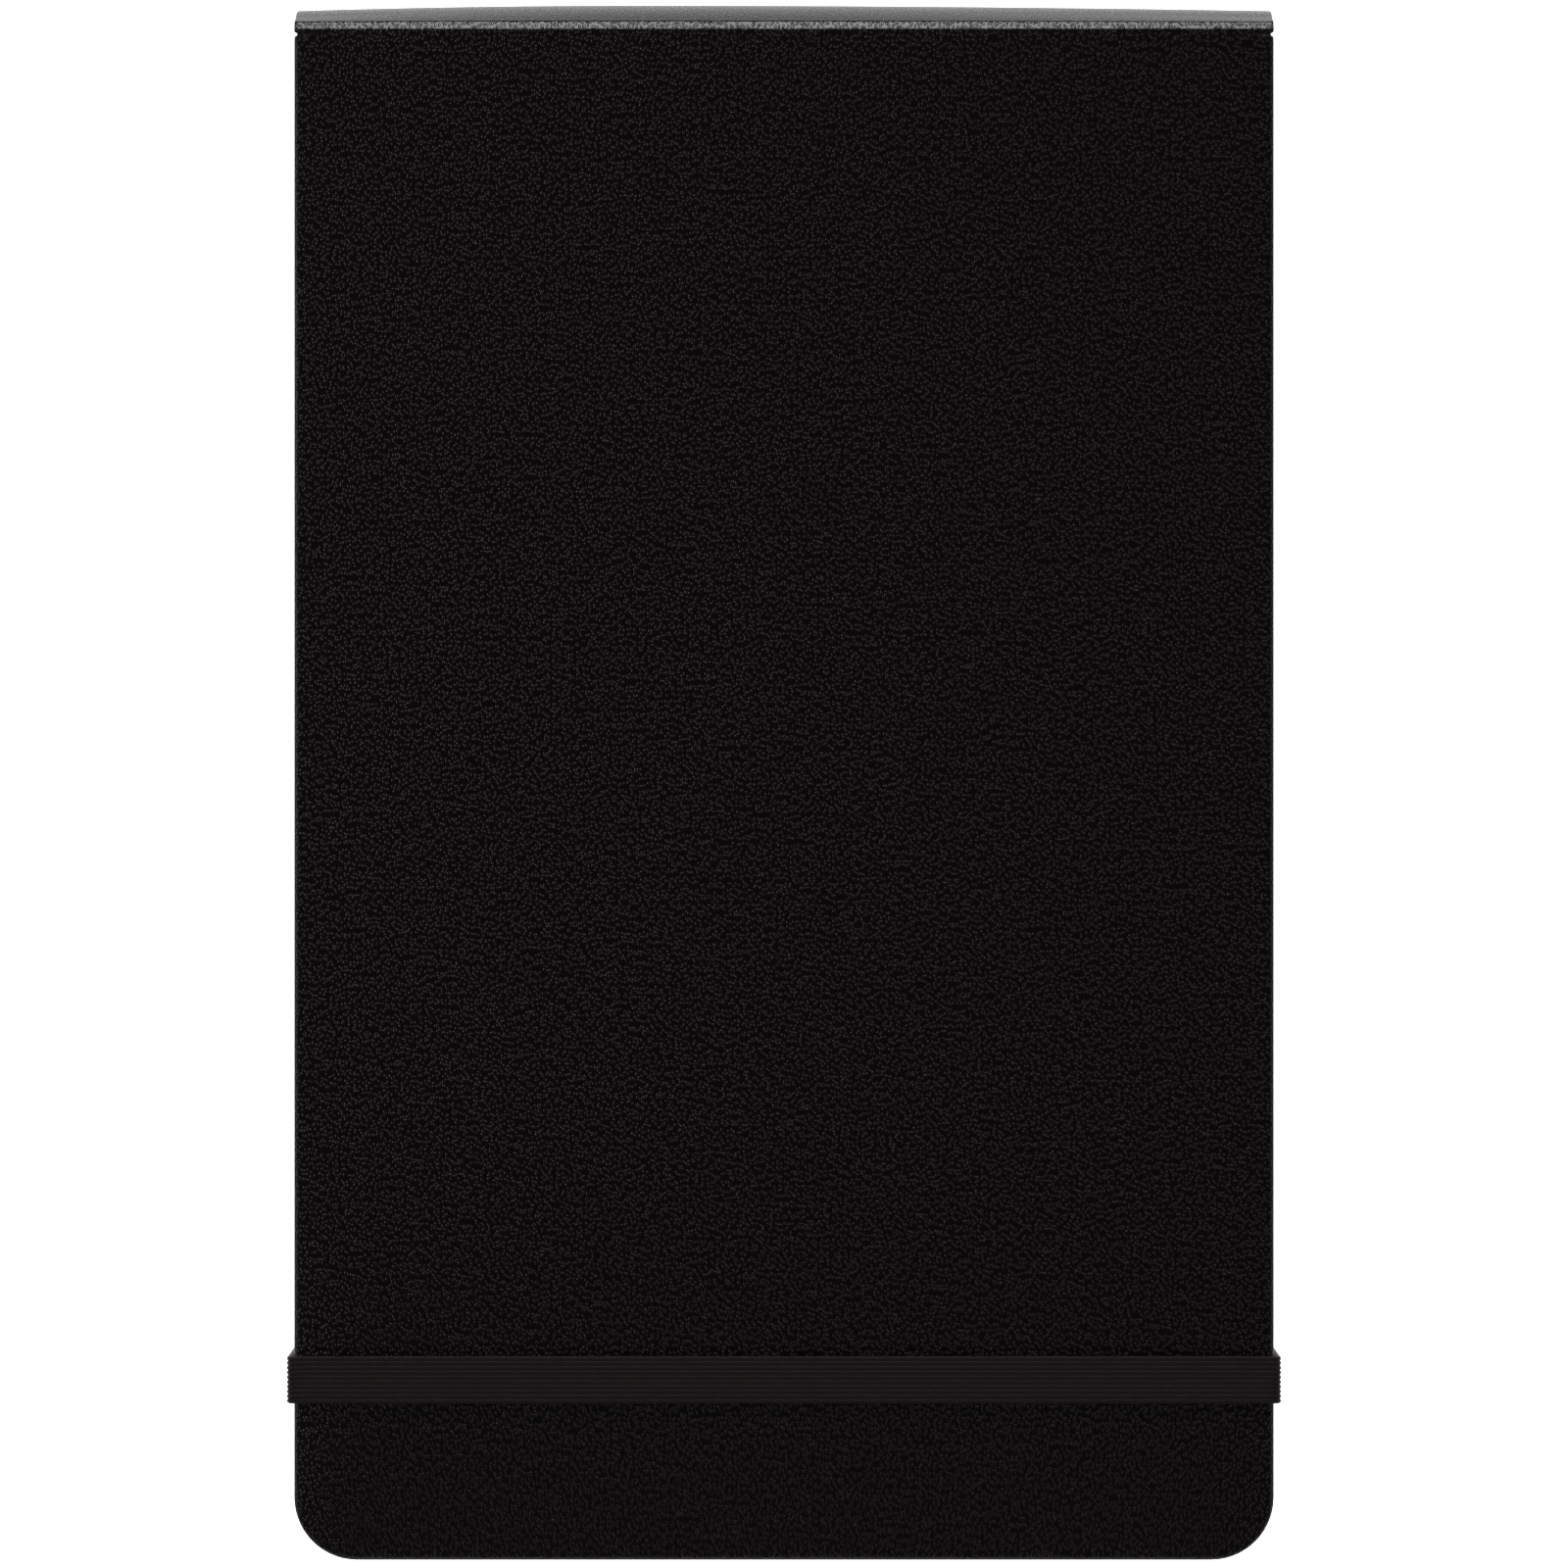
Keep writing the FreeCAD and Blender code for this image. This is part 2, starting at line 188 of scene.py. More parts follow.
def map_pages(bm: BMesh, trimmed_edge: float = -1000.0) -> None:
    """Keep each page's flat places for the printing; trimmed edges stay blank.

    Args:
        bm: the mesh of pages lying flat.
        trimmed_edge: the place given to faces that are not printed.
    """
    flat_page = bm.loops.layers.uv.new("page_mm")
    bm.normal_update()
    for face in bm.faces:
        printed = abs(face.normal.z) > 0.9
        for loop in face.loops:
            loop[flat_page].uv = (loop.vert.co.x, loop.vert.co.y if printed else trimmed_edge)


def cut_across(bm: BMesh, places: Iterable[float], normal: Point) -> None:
    """Cut a mesh with parallel planes, so that it can bend between them.

    Args:
        bm: the mesh to cut.
        places: distances of the planes along the normal.
        normal: the planes' direction, along one axis.
    """
    for place in places:
        everything = bm.verts[:] + bm.edges[:] + bm.faces[:]
        at = Vector(normal) * place
        bmesh.ops.bisect_plane(bm, geom=everything, dist=1e-5, plane_co=at, plane_no=normal)


def pick(items: Iterable, kind: type) -> list:
    """The mesh elements of one kind.

    Args:
        items: what a mesh operator returned.
        kind: the kind to keep.

    Returns:
        Those elements, in order.
    """
    return [item for item in items if isinstance(item, kind)]


def round_off(bm: BMesh, geom: list, radius: float, segments: int, affect: str) -> None:
    """Round corners or edges.

    Args:
        bm: the mesh that holds them.
        geom: the corners or edges.
        radius: the rounding's radius.
        segments: how many flats it is made of.
        affect: "VERTICES" or "EDGES".
    """
    bmesh.ops.bevel(
        bm, geom=geom, offset=radius, offset_type="OFFSET", segments=segments, profile=0.5,
        affect=affect, material=-1,
    )


def draw_out(bm: BMesh, rows: Sequence[tuple[Point, Point]]) -> list[BMVert]:
    """Draw a sheet out from its first row of two points, row by row.

    Args:
        bm: the mesh to fill.
        rows: the two side points of each row.

    Returns:
        The first row's points.
    """
    first = [bm.verts.new(point) for point in rows[0]]
    edge = bm.edges.new(first)
    for before, row in zip(rows, rows[1:]):
        grown = bmesh.ops.extrude_edge_only(bm, edges=[edge])["geom"]
        verts = pick(grown, BMVert)
        for vert in verts:
            gaps = [(vert.co - Vector(point)).length for point in before]
            vert.co = row[0] if gaps[0] <= gaps[1] else row[1]
        edge = [e for e in pick(grown, BMEdge) if all(v in verts for v in e.verts)][0]
    return first


def steps(low: float, high: float, count: int) -> list[float]:
    """Evenly spaced places from low to high.

    Args:
        low: the first place.
        high: the last place.
        count: how many gaps lie between them.

    Returns:
        The count + 1 places.
    """
    return [low + (high - low) * i / count for i in range(count + 1)]


# ---------------------------------------------------------------- places from the frame
@dataclass(frozen=True)
class Layout:
    """Places that every piece is built to, in millimetres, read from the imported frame."""

    half_width: float
    bottom_y: float
    head_y: float
    front_face_z: float
    back_face_z: float
    hinge_y: float
    hinge_front_z: float
    hinge_back_z: float
    page_half_width: float
    page_bottom_y: float
    page_head_y: float
    band_y: float
    band_half: float
    band_inner_x: float

    @classmethod
    def from_frame(cls) -> "Layout":
        """Read the places from the CAD nodes and joints.

        Returns:
            The places.
        """
        joints = {joint["name"]: joint for joint in frame["joints"]}
        front_low, front_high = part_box("front_covering")
        back_low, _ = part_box("back_covering")
        page_low, page_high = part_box("signature_02")
        span_low, span_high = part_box("elastic_front_span")
        return cls(
            half_width=front_high.x / MM, bottom_y=front_low.y / MM, head_y=front_high.y / MM,
            front_face_z=front_high.z / MM, back_face_z=back_low.z / MM,
            hinge_y=joints["cover_hinge"]["pos_m"][1] / MM,
            hinge_front_z=joints["cover_hinge"]["pos_m"][2] / MM,
            hinge_back_z=joints["block_hinge"]["pos_m"][2] / MM, page_half_width=page_high.x / MM,
            page_bottom_y=page_low.y / MM, page_head_y=page_high.y / MM,
            band_y=0.5 * (span_low.y + span_high.y) / MM, band_half=0.5 * (span_high.y - span_low.y) / MM,
            band_inner_x=span_high.x / MM,
        )


class Side(Enum):
    """Which cover a piece belongs to; the value is the way out of that cover, along Z."""

    FRONT = 1.0
    BACK = -1.0

    @property
    def body(self) -> str:
        """The CAD body of that cover.

        Returns:
            The body's name.
        """
        return "front_cover" if self is Side.FRONT else "back_cover"

    @property
    def label(self) -> str:
        """The word that starts the names of that cover's pieces.

        Returns:
            "front" or "back".
        """
        return "front" if self is Side.FRONT else "back"


# ---------------------------------------------------------------- finishes
@dataclass(frozen=True)
class Finish:
    """A procedural material whose colour runs between two shades."""

    name: str
    colour: str
    pale: str

    def build(self) -> Material:
        """Make the material.

        Returns:
            The material, with one Principled shader.
        """
        material = bpy.data.materials.new(self.name)
        material.use_nodes = True
        tree = material.node_tree
        tree.nodes.clear()
        shader = add_node(tree, "BsdfPrincipled", inputs=self.surface(tree))
        add_node(tree, "OutputMaterial", inputs={"Surface": shader.outputs["BSDF"]})
        return material

    def surface(self, tree: NodeTree) -> dict:
        """The shader's inputs, which each kind of finish gives.

        Args:
            tree: the material's node tree.

        Returns:
            Each input's name and its value or socket.
        """
        raise NotImplementedError

    def tint(self, tree: NodeTree, share: NodeSocket) -> NodeSocket:
        """Mix the two shades.

        Args:
            tree: the material's node tree.
            share: how pale each place is.

        Returns:
            The colour.
        """
        shades = {"Factor": share, "A": to_linear(self.colour), "B": to_linear(self.pale)}
        return add_node(tree, "Mix", {"data_type": "RGBA"}, shades).outputs["Result"]


@dataclass(frozen=True)
class Leatherette(Finish):
    """Embossed bookbinding leatherette: black coated paper, calendered with a fine pebble grain.

    The coating is a thin semi-matt film, so each pebble's crown catches a soft glint, and the crowns
    are also painted paler than the valleys as a painted glint. The joint is pressed with a hot iron
    after the case is glued, which leaves it glossier than the rest.
    """

    name: str = "leatherette_embossed_black"
    colour: str = "050303"
    # pale is the pebble crowns' colour: a painted glint, paler than the valleys whatever the light.
    pale: str = "1C1213"
    pebble_width: float = 0.27
    pebble_length: float = 0.5
    relief: float = 0.042
    gloss_level: float = 0.13
    pressed_gloss: float = 0.3
    pressed_from: float = 68.24
    pressed_to: float = 69.1
    pressed_fade: float = 0.06

    def surface(self, tree: NodeTree) -> dict:
        """Pebbles that follow the piece's flat cutting pattern in mm.

        Args:
            tree: the material's node tree.

        Returns:
            The shader's inputs.
        """
        pattern = add_node(tree, "UVMap", {"uv_map": "pattern_mm"}).outputs["UV"]
        drift = add_node(tree, "TexNoise", inputs={"Vector": pattern, "Scale": 1.3, "Detail": 1.0})
        push = add_node(
            tree, "VectorMath", {"operation": "MULTIPLY_ADD"},
            {0: drift.outputs["Color"], 1: (0.12, 0.12, 0.0), 2: pattern},
        )
        size = (1.0 / self.pebble_width, 1.0 / self.pebble_length, 1.0)
        space = add_node(tree, "Mapping", inputs={"Vector": push.outputs["Vector"], "Scale": size})
        pebbles = add_node(
            tree, "TexVoronoi", {"feature": "F1", "voronoi_dimensions": "2D"},
            {"Vector": space.outputs["Vector"], "Scale": 1.0, "Randomness": 0.95},
        )
        crown = add_node(
            tree, "MapRange", {"interpolation_type": "SMOOTHSTEP"},
            {
                "Value": pebbles.outputs["Distance"],
                "From Min": 0.08, "From Max": 0.46, "To Min": 1.0, "To Max": 0.0,
            },
        ).outputs["Result"]
        fine = add_node(
            tree, "TexNoise", {"noise_dimensions": "2D"},
            {"Vector": space.outputs["Vector"], "Scale": 2.6, "Detail": 2.0},
        )
        height = add_node(
            tree, "Math", {"operation": "MULTIPLY_ADD"}, {0: fine.outputs["Fac"], 1: 0.3, 2: crown}
        )
        bump = add_node(
            tree, "Bump",
            inputs={"Height": height.outputs[0], "Strength": 0.9, "Distance": self.relief * MM},
        )
        # Painted glint: the crowns are coloured paler than the valleys, so the grain shows as bright dots
        # under any light.
        tint = self.tint(tree, crown)
        gloss = add_node(tree, "MapRange", inputs={"Value": crown, "To Min": 0.4, "To Max": 0.22})
        flat_place = add_node(tree, "SeparateXYZ", inputs={"Vector": pattern})
        ramps = [
            add_node(
                tree, "MapRange", {"interpolation_type": "SMOOTHSTEP"},
                {
                    "Value": flat_place.outputs["Y"],
                    "From Min": edge - self.pressed_fade, "From Max": edge + self.pressed_fade,
                    "To Min": before, "To Max": 1.0 - before,
                },
            ).outputs["Result"]
            for edge, before in ((self.pressed_from, 0.0), (self.pressed_to, 1.0))
        ]
        pressed = add_node(tree, "Math", {"operation": "MULTIPLY"}, {0: ramps[0], 1: ramps[1]})
        shine = add_node(
            tree, "Math", {"operation": "MULTIPLY_ADD"},
            {0: pressed.outputs[0], 1: self.pressed_gloss, 2: self.gloss_level},
        )
        return {
            "Base Color": tint, "Roughness": gloss.outputs["Result"],
            "Specular IOR Level": shine.outputs[0], "Normal": bump.outputs["Normal"],
        }


@dataclass(frozen=True)
class WovenElastic(Finish):
    """Braided elastic: black polyester over rubber cores, with lengthwise ribs.

    The ribs are in the mesh; the fine yarns that cross them are too small to see one by one,
    so they are drawn 0.3 mm apart and show as a broken sheen.
    """

    name: str = "polyester_braided_elastic_black"
    colour: str = "050303"
    pale: str = "1A1112"
    yarn: float = 0.3
    relief: float = 0.04

    def surface(self, tree: NodeTree) -> dict:
        """Yarns in the piece's own space.

        Args:
            tree: the material's node tree.

        Returns:
            The shader's inputs.
        """
        place = add_node(tree, "TexCoord").outputs["Object"]
        scale = 1.0 / (self.yarn * MM)
        yarns = add_node(tree, "TexNoise", inputs={"Vector": place, "Scale": scale, "Detail": 3.0})
        knit = add_node(tree, "TexVoronoi", inputs={"Vector": place, "Scale": scale})
        tint = self.tint(tree, yarns.outputs["Fac"])
        bump = add_node(
            tree, "Bump",
            inputs={"Height": knit.outputs["Distance"], "Strength": 0.6, "Distance": self.relief * MM},
        )
        return {
            "Base Color": tint, "Roughness": 0.55, "Specular IOR Level": 0.11,
            "Sheen Weight": 0.02, "Sheen Roughness": 0.4, "Normal": bump.outputs["Normal"],
        }


@dataclass(frozen=True)
class FibreStock(Finish):
    """Paper, card and board: uncoated fibre sheets, told apart by colour and fibre size."""

    fibre: float
    relief: float
    roughness: float = 0.85
    line_colour: str = ""
    line_pitch: float = 6.0
    line_width: float = 0.22
    first_line_y: float = 0.0
    last_line_y: float = 0.0

    def surface(self, tree: NodeTree) -> dict:
        """Fibres, with printed feint lines where a line colour is given.

        Args:
            tree: the material's node tree.

        Returns:
            The shader's inputs.
        """
        place = add_node(tree, "TexCoord").outputs["Object"]
        fibres = add_node(
            tree, "TexNoise",
            inputs={"Vector": place, "Scale": 1.0 / (self.fibre * MM), "Detail": 4.0, "Roughness": 0.6},
        ).outputs["Fac"]
        colour = self.tint(tree, fibres)
        if self.line_colour:
            colour = self._ruled(tree, colour)
        bump = add_node(
            tree, "Bump", inputs={"Height": fibres, "Strength": 0.5, "Distance": self.relief * MM},
        )
        return {
            "Base Color": colour, "Roughness": self.roughness,
            "Specular IOR Level": 0.3, "Normal": bump.outputs["Normal"],
        }

    def _ruled(self, tree: NodeTree, paper: NodeSocket) -> NodeSocket:
        """Print feint lines across the page.

        Args:
            tree: the material's node tree.
            paper: the bare paper's colour.

        Returns:
            The colour with the lines on it.
        """
        flat_page = add_node(tree, "UVMap", {"uv_map": "page_mm"}).outputs["UV"]
        along = add_node(tree, "SeparateXYZ", inputs={"Vector": flat_page}).outputs["Y"]
        turn = add_node(tree, "Math", {"operation": "MODULO"}, {0: along, 1: self.line_pitch})
        size = add_node(tree, "Math", {"operation": "ABSOLUTE"}, {0: turn.outputs[0]})
        tests = [
            add_node(tree, "Math", {"operation": operation}, {0: value, 1: limit}).outputs[0]
            for operation, value, limit in (
                ("LESS_THAN", size.outputs[0], self.line_width), ("LESS_THAN", along, self.last_line_y),
                ("GREATER_THAN", along, self.first_line_y),
            )
        ]
        ink = tests[0]
        for test in tests[1:]:
            both = add_node(tree, "Math", {"operation": "MULTIPLY"}, {0: ink, 1: test})
            ink = both.outputs[0]
        lines = {"Factor": ink, "A": paper, "B": to_linear(self.line_colour)}
        return add_node(tree, "Mix", {"data_type": "RGBA"}, lines).outputs["Result"]


@dataclass(frozen=True)
class BookCloth(Finish):
    """Plain-woven cotton: book cloth, mull and thread, told apart by colour and thread spacing."""

    thread: float
    relief: float = 0.06

    def surface(self, tree: NodeTree) -> dict:
        """Two sets of threads, crossed.

        Args:
            tree: the material's node tree.

        Returns:
            The shader's inputs.
        """
        place = add_node(tree, "TexCoord").outputs["Object"]
        threads = {"Vector": place, "Scale": math.pi / (10.0 * self.thread * MM), "Distortion": 0.6}
        waves = [
            add_node(tree, "TexWave", {"bands_direction": way}, threads).outputs["Fac"]
            for way in ("X", "Y")
        ]
        weave = add_node(tree, "Math", {"operation": "MAXIMUM"}, {0: waves[0], 1: waves[1]}).outputs[0]
        tint = self.tint(tree, weave)
        bump = add_node(
            tree, "Bump", inputs={"Height": weave, "Strength": 0.6, "Distance": self.relief * MM},
        )
        return {
            "Base Color": tint, "Roughness": 0.8, "Sheen Weight": 0.2, "Normal": bump.outputs["Normal"],
        }


@dataclass
class Finishes:
    """Every finish of the notebook, built once."""

    leatherette: Material
    elastic: Material
    page: Material
    endpaper: Material
    board: Material
    card: Material
    kraft: Material
    pocket_cloth: Material
    mull: Material
    thread: Material

    @classmethod
    def build(cls, layout: Layout) -> "Finishes":
        """Build them all.

        Args:
            layout: gives the part of a page that is ruled.

        Returns:
            The finishes.
        """
        ruled = FibreStock(
            "paper_offset_ivory_ruled", "E6DBC0", "EBE2CA", 0.35, 0.006, line_colour="B9B4A6",
            first_line_y=layout.page_bottom_y + 5.0, last_line_y=layout.page_head_y - 14.0,
        )
        endpaper = FibreStock("paper_endpaper_ivory", "DFD3B5", "E5DABF", 0.5, 0.01)
        board = FibreStock("greyboard_pressed", "7E776C", "8F887C", 0.5, 0.05)
        card = FibreStock("card_manila", "BDA77C", "C7B38A", 0.5, 0.02)
        kraft = FibreStock("paper_kraft_ribbed", "8C6A42", "9B794F", 0.4, 0.02)
        cloth = BookCloth("cotton_book_cloth_black", "100E0E", "262323", 0.35)
        mull = BookCloth("cotton_mull_starched", "9C968A", "E6E1D5", 0.9)
        thread = BookCloth("linen_thread_waxed", "D8D2C2", "F2EEE2", 0.1)
        return cls(
            Leatherette().build(), WovenElastic().build(), ruled.build(), endpaper.build(),
            board.build(), card.build(), kraft.build(), cloth.build(), mull.build(), thread.build(),
        )


# ---------------------------------------------------------------- the case
@dataclass
class SpineCurve:
    """The outside of the case as one line: flat cover, joint roll, then the spine's curve.

    A place on it is s, the distance past the board's head edge, and d, the depth inward.
    """

    layout: Layout
    side: Side
    roll_radius: float = 1.0
    roll_wrap: float = math.radians(60.0)
    crest_x: float = -13.0
    end_drop: float = 0.5
    normal_reach: float = 0.4
    notch_width: float = 0.16
    notch_depth: float = 0.32
    notch_run: float = 4.5
    pressed_joint: tuple[Point, ...] = (
        (0.0, 0.0, 0.0), (0.08, 0.08, 0.0), (0.88, 0.76, -0.42), (1.01, 0.89, -0.45),
        (1.197, 0.941, -0.63),
    )

    def __post_init__(self) -> None:
        """Work out the curve's lengths and the centre of the spine's arc."""
        lay = self.layout
        self.flat = lay.hinge_y - lay.head_y
        self.roll_length = self.roll_radius * self.roll_wrap
        self.middle_z = 0.5 * (lay.hinge_front_z + lay.hinge_back_z)
        self.end_angle = 0.5 * math.pi - self.roll_wrap
        reach = 0.5 * (lay.hinge_front_z - lay.hinge_back_z) / math.sin(self.end_angle)
        self.radius = reach + self.roll_radius
        self.centre_y = lay.hinge_y - reach * math.cos(self.end_angle)
        self.spine_start = self.flat + self.roll_length
        self.length = self.spine_start + self.radius * self.end_angle

    def drop(self, x: float) -> float:
        """How far the spine's bulge falls back at x.

        Args:
            x: place across the width.

        Returns:
            The drop in millimetres, 0 at the crest.
        """
        reach = self.layout.half_width + (self.crest_x if x < self.crest_x else -self.crest_x)
        return self.end_drop * min(abs(x - self.crest_x) / reach, 1.0) ** 2

    def outer(self, s: float) -> tuple[float, float]:
        """The outer line of the case at s: flat, pressed crease and facet, then the spine's arc.

        Args:
            s: distance past the board's head edge, negative on the flat cover.

        Returns:
            Its Y and Z on the front side.
        """
        lay = self.layout
        top_z = lay.hinge_front_z + self.roll_radius
        if s <= self.flat:
            return lay.head_y + s, top_z
        run = s - self.flat
        if run < self.pressed_joint[-1][0]:
            for (s0, y0, z0), (s1, y1, z1) in zip(self.pressed_joint, self.pressed_joint[1:]):
                if run <= s1:
                    share = (run - s0) / (s1 - s0)
                    return lay.hinge_y + y0 + (y1 - y0) * share, top_z + z0 + (z1 - z0) * share
        angle = self.end_angle - (s - self.spine_start) / self.radius
        return (
            self.centre_y + self.radius * math.cos(angle), self.middle_z + self.radius * math.sin(angle),
        )

    def notch(self, x: float, s: float) -> float:
        """How far the gap at each end of the joint is open.

        Args:
            x: place across the width.
            s: distance past the board's head edge.

        Returns:
            A share from 0 to 1.
        """
        inward = max(self.layout.half_width - abs(x), 0.0) / self.notch_run
        if inward >= 1.0:
            return 0.0
        offset = (s - self.flat * inward) / self.notch_width
        return math.exp(-offset * offset) * (1.0 - inward) ** 2

    def place(self, x: float, s: float, d: float) -> Vector:
        """Where a point of the case lies.

        Args:
            x: place across the width.
            s: distance past the board's head edge, negative on the flat cover.
            d: depth inward from the outer face.

        Returns:
            The point in millimetres.
        """
        past_middle = s > self.length
        if past_middle:
            s = 2.0 * self.length - s
        y, z = self.outer(s)
        before, after = self.outer(s - self.normal_reach), self.outer(s + self.normal_reach)
        along = Vector((after[0] - before[0], after[1] - before[1])).normalized()
        open_share = self.notch(x, s)
        d += 0.5 * self.notch_depth * open_share * (1.0 - min(d, 1.0))
        y += along.y * d
        z -= along.x * d
        x -= math.copysign(self.notch_depth * open_share, x)
        y -= smooth_step(self.flat, self.spine_start + 2.5, s) * self.drop(x)
        if past_middle != (self.side is Side.BACK):
            z = 2.0 * self.middle_z - z
        return Vector((x, y, z))


@dataclass
class CoverSkin:
    """Leatherette of one cover and its half of the spine, cut flat, then folded round the board."""

    layout: Layout
    side: Side
    material: Material
    corner_radius: float = 5.7
    edge_radius: float = 0.42
    thickness: float = 0.25
    board_depth: float = 1.8
    joint_depth: float = 0.56
    spine_depth: float = 1.02
    turn_in: float = 13.0
    near_turn_in: float = 4.6
    inner_corner: float = 0.6
    corner_segments: int = 14
    seam_run: float = 2.0
    flex_slope: float = 0.3
    flex: tuple[float, float] = (0.35, 2.6)
    spine_end_squareness: float = 0.6
    head_cuts: tuple[float, ...] = (-0.45, -0.3, -0.2, -0.1, 0.0, 0.1, 0.2, 0.3)
    joint_cuts: tuple[float, ...] = (0.05, 0.11, 0.35, 0.6, 0.85, 0.91, 0.98, 1.04, 1.16, 1.24)
    length_cuts: tuple[float, ...] = (-72.0, -30.0, 15.0, 45.0, 60.0, 66.0)
    side_cuts: tuple[float, ...] = (40.5, 41.5, 42.5, 43.2, 43.8)

    def build(self) -> Object:
        """Cut, fold and thicken the skin.

        Returns:
            The finished piece.
        """
        self.curve = SpineCurve(self.layout, self.side)
        seam = self.curve.spine_start + self.seam_run
        self.reach = 2.0 * self.curve.length - seam if self.side is Side.FRONT else seam
        self.quarter = 0.5 * math.pi * self.edge_radius
        self.wall = self.board_depth - 2.0 * self.edge_radius
        bm = bmesh.new()
        self._cut_outline(bm)
        self._add_margins(bm)
        head = self.layout.head_y
        places = [*self.head_cuts, *(self.curve.flat + run for run in self.joint_cuts)]
        places += steps(self.curve.spine_start + 0.4, self.curve.length, 15)
        if self.side is Side.FRONT:
            places += [2.0 * self.curve.length - place for place in places[:-1]]
        places = [place for place in places if place < self.reach - 0.01]
        cut_across(bm, [head + place for place in places], (0, 1, 0))
        cut_across(bm, self.length_cuts, (0, 1, 0))
        cut_across(bm, [x * side for x in self.side_cuts for side in (-1, 1)], (1, 0, 0))
        cut_across(bm, steps(-38.0, 38.0, WIDTH_CUTS), (1, 0, 0))
        self._fold(bm)
        name = f"{self.side.label}_cover_skin"
        piece = finish_mesh(bm, name, self.material, FOLD_CRISP)
        thicken(piece, self.thickness, -1.0, FOLD_CRISP)
        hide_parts(f"{self.side.label}_covering", f"{self.side.label}_joint_cloth")
        if self.side is Side.FRONT:
            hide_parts("spine_covering")
        return self._join(piece)

    def _join(self, piece: Object) -> Object:
        """Bake the skin's placement into its mesh; it is joined to no body.

        Args:
            piece: the finished skin.

        Returns:
            The same piece.
        """
        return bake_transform(piece)

    def _cut_outline(self, bm: BMesh) -> None:
        """Lay out the flat face of the pattern, with its two bottom corners rounded.

        Args:
            bm: the empty mesh to fill.
        """
        lay = self.layout
        half = lay.half_width - self.edge_radius
        low = lay.bottom_y + self.edge_radius
        high = lay.head_y + self.reach
        outline = ((-half, low, 0), (half, low, 0), (half, high, 0), (-half, high, 0))
        corners = [bm.verts.new(point) for point in outline]
        bm.faces.new(corners)
        radius = self.corner_radius - self.edge_radius
        round_off(bm, corners[:2], radius, self.corner_segments, "VERTICES")
        for vert in bm.verts:
            base, way = self._outline(vert.co.x, vert.co.y)
            if way.length > 0.0:
                spot = base + way * radius
                vert.co = Vector((spot.x, spot.y, 0.0))

    def _outline(self, u: float, v: float) -> tuple[Vector, Vector]:
        """Nearest point of the corner centres' rectangle, and the way out from it.

        Args:
            u: place across the flat pattern.
            v: place along the flat pattern.

        Returns:
            The base point and the unit vector out of it, or no vector inside the rectangle.
        """
        half = self.layout.half_width - self.corner_radius
        base = Vector((min(max(u, -half), half), max(v, self.layout.bottom_y + self.corner_radius)))
        way = Vector((u, v)) - base
        if way.length < 1e-6:
            return base, Vector((0.0, 0.0))
        return base, way.normalized()

    def _add_margins(self, bm: BMesh) -> None:
        """Grow the pattern outward in rings: the wrapped edge and then the turn-in.

        Args:
            bm: the mesh of the flat face.
        """
        rings = steps(0.0, self.quarter, 3)[1:]
        rings += steps(self.quarter, self.quarter + self.wall, 2)[1:]
        rings += steps(self.quarter + self.wall, 2.0 * self.quarter + self.wall, 3)[1:]
        flat = 2.0 * self.quarter + self.wall
        rings += [flat + 1.4, flat + self.near_turn_in, flat + self.turn_in - self.edge_radius]
        high = self.layout.head_y + self.reach - 1e-4
        edges = [e for e in bm.edges if e.is_boundary and not all(v.co.y > high for v in e.verts)]
        before = 0.0
        for ring in rings:
            grown = bmesh.ops.extrude_edge_only(bm, edges=edges)["geom"]
            verts = pick(grown, BMVert)
            edges = pick(grown, BMEdge)
            edges = [e for e in edges if e.is_boundary and all(v in verts for v in e.verts)]
            for vert in verts:
                _, way = self._outline(vert.co.x, vert.co.y)
                vert.co += Vector((way.x, way.y, 0.0)) * (ring - before)
            before = ring

    def _folded(self, u: float, v: float) -> tuple[float, float, float]:
        """Fold one point of the flat pattern round a board of the full depth.

        Args:
            u: place across the flat pattern.
            v: place along the flat pattern.

        Returns:
            Its plan position and its depth below the outer face.
        """
        base, way = self._outline(u, v)
        out = (Vector((u, v)) - base).length - (self.corner_radius - self.edge_radius)
        if way.length == 0.0 or out <= 1e-6:
            return u, v, 0.0
        radius, depth = self.corner_radius, 0.0
        if out < self.quarter:
            turn = out / self.edge_radius
            radius -= self.edge_radius * (1.0 - math.sin(turn))
            depth = self.edge_radius * (1.0 - math.cos(turn))
        elif out < self.quarter + self.wall:
            depth = self.edge_radius + out - self.quarter
        elif out < 2.0 * self.quarter + self.wall:
            turn = (out - self.quarter - self.wall) / self.edge_radius
            radius -= self.edge_radius * (1.0 - math.cos(turn))
            depth = self.board_depth - self.edge_radius * (1.0 - math.sin(turn))
        else:
            return self._turned_in(base, way, out - 2.0 * self.quarter - self.wall)
        return base.x + way.x * radius, base.y + way.y * radius, depth

    def _turned_in(self, base: Vector, way: Vector, run: float) -> tuple[float, float, float]:
        """Place a point of the turn-in, whose corners are gathered to a mitre.

        Args:
            base: nearest point of the corner centres' rectangle.
            way: unit vector out of it.
            run: distance inward from the edge's inner rounding.

        Returns:
            Its plan position and its depth.
        """
        near = min(run, self.near_turn_in)
        spot = base + way * (self.corner_radius - self.edge_radius - near)
        if run > self.near_turn_in:
            lay = self.layout
            half = lay.half_width - self.turn_in - self.inner_corner
            low = lay.bottom_y + self.turn_in + self.inner_corner
            inner = Vector((min(max(base.x, -half), half), max(base.y, low)))
            if abs(way.x) > 0.5 and abs(way.y) < 1e-6:
                inner.x = math.copysign(half, way.x)
            inner += way * self.inner_corner
            share = (run - self.near_turn_in) / (self.turn_in - self.edge_radius - self.near_turn_in)
            spot = spot.lerp(inner, min(share, 1.0))
        return spot.x, spot.y, self.board_depth

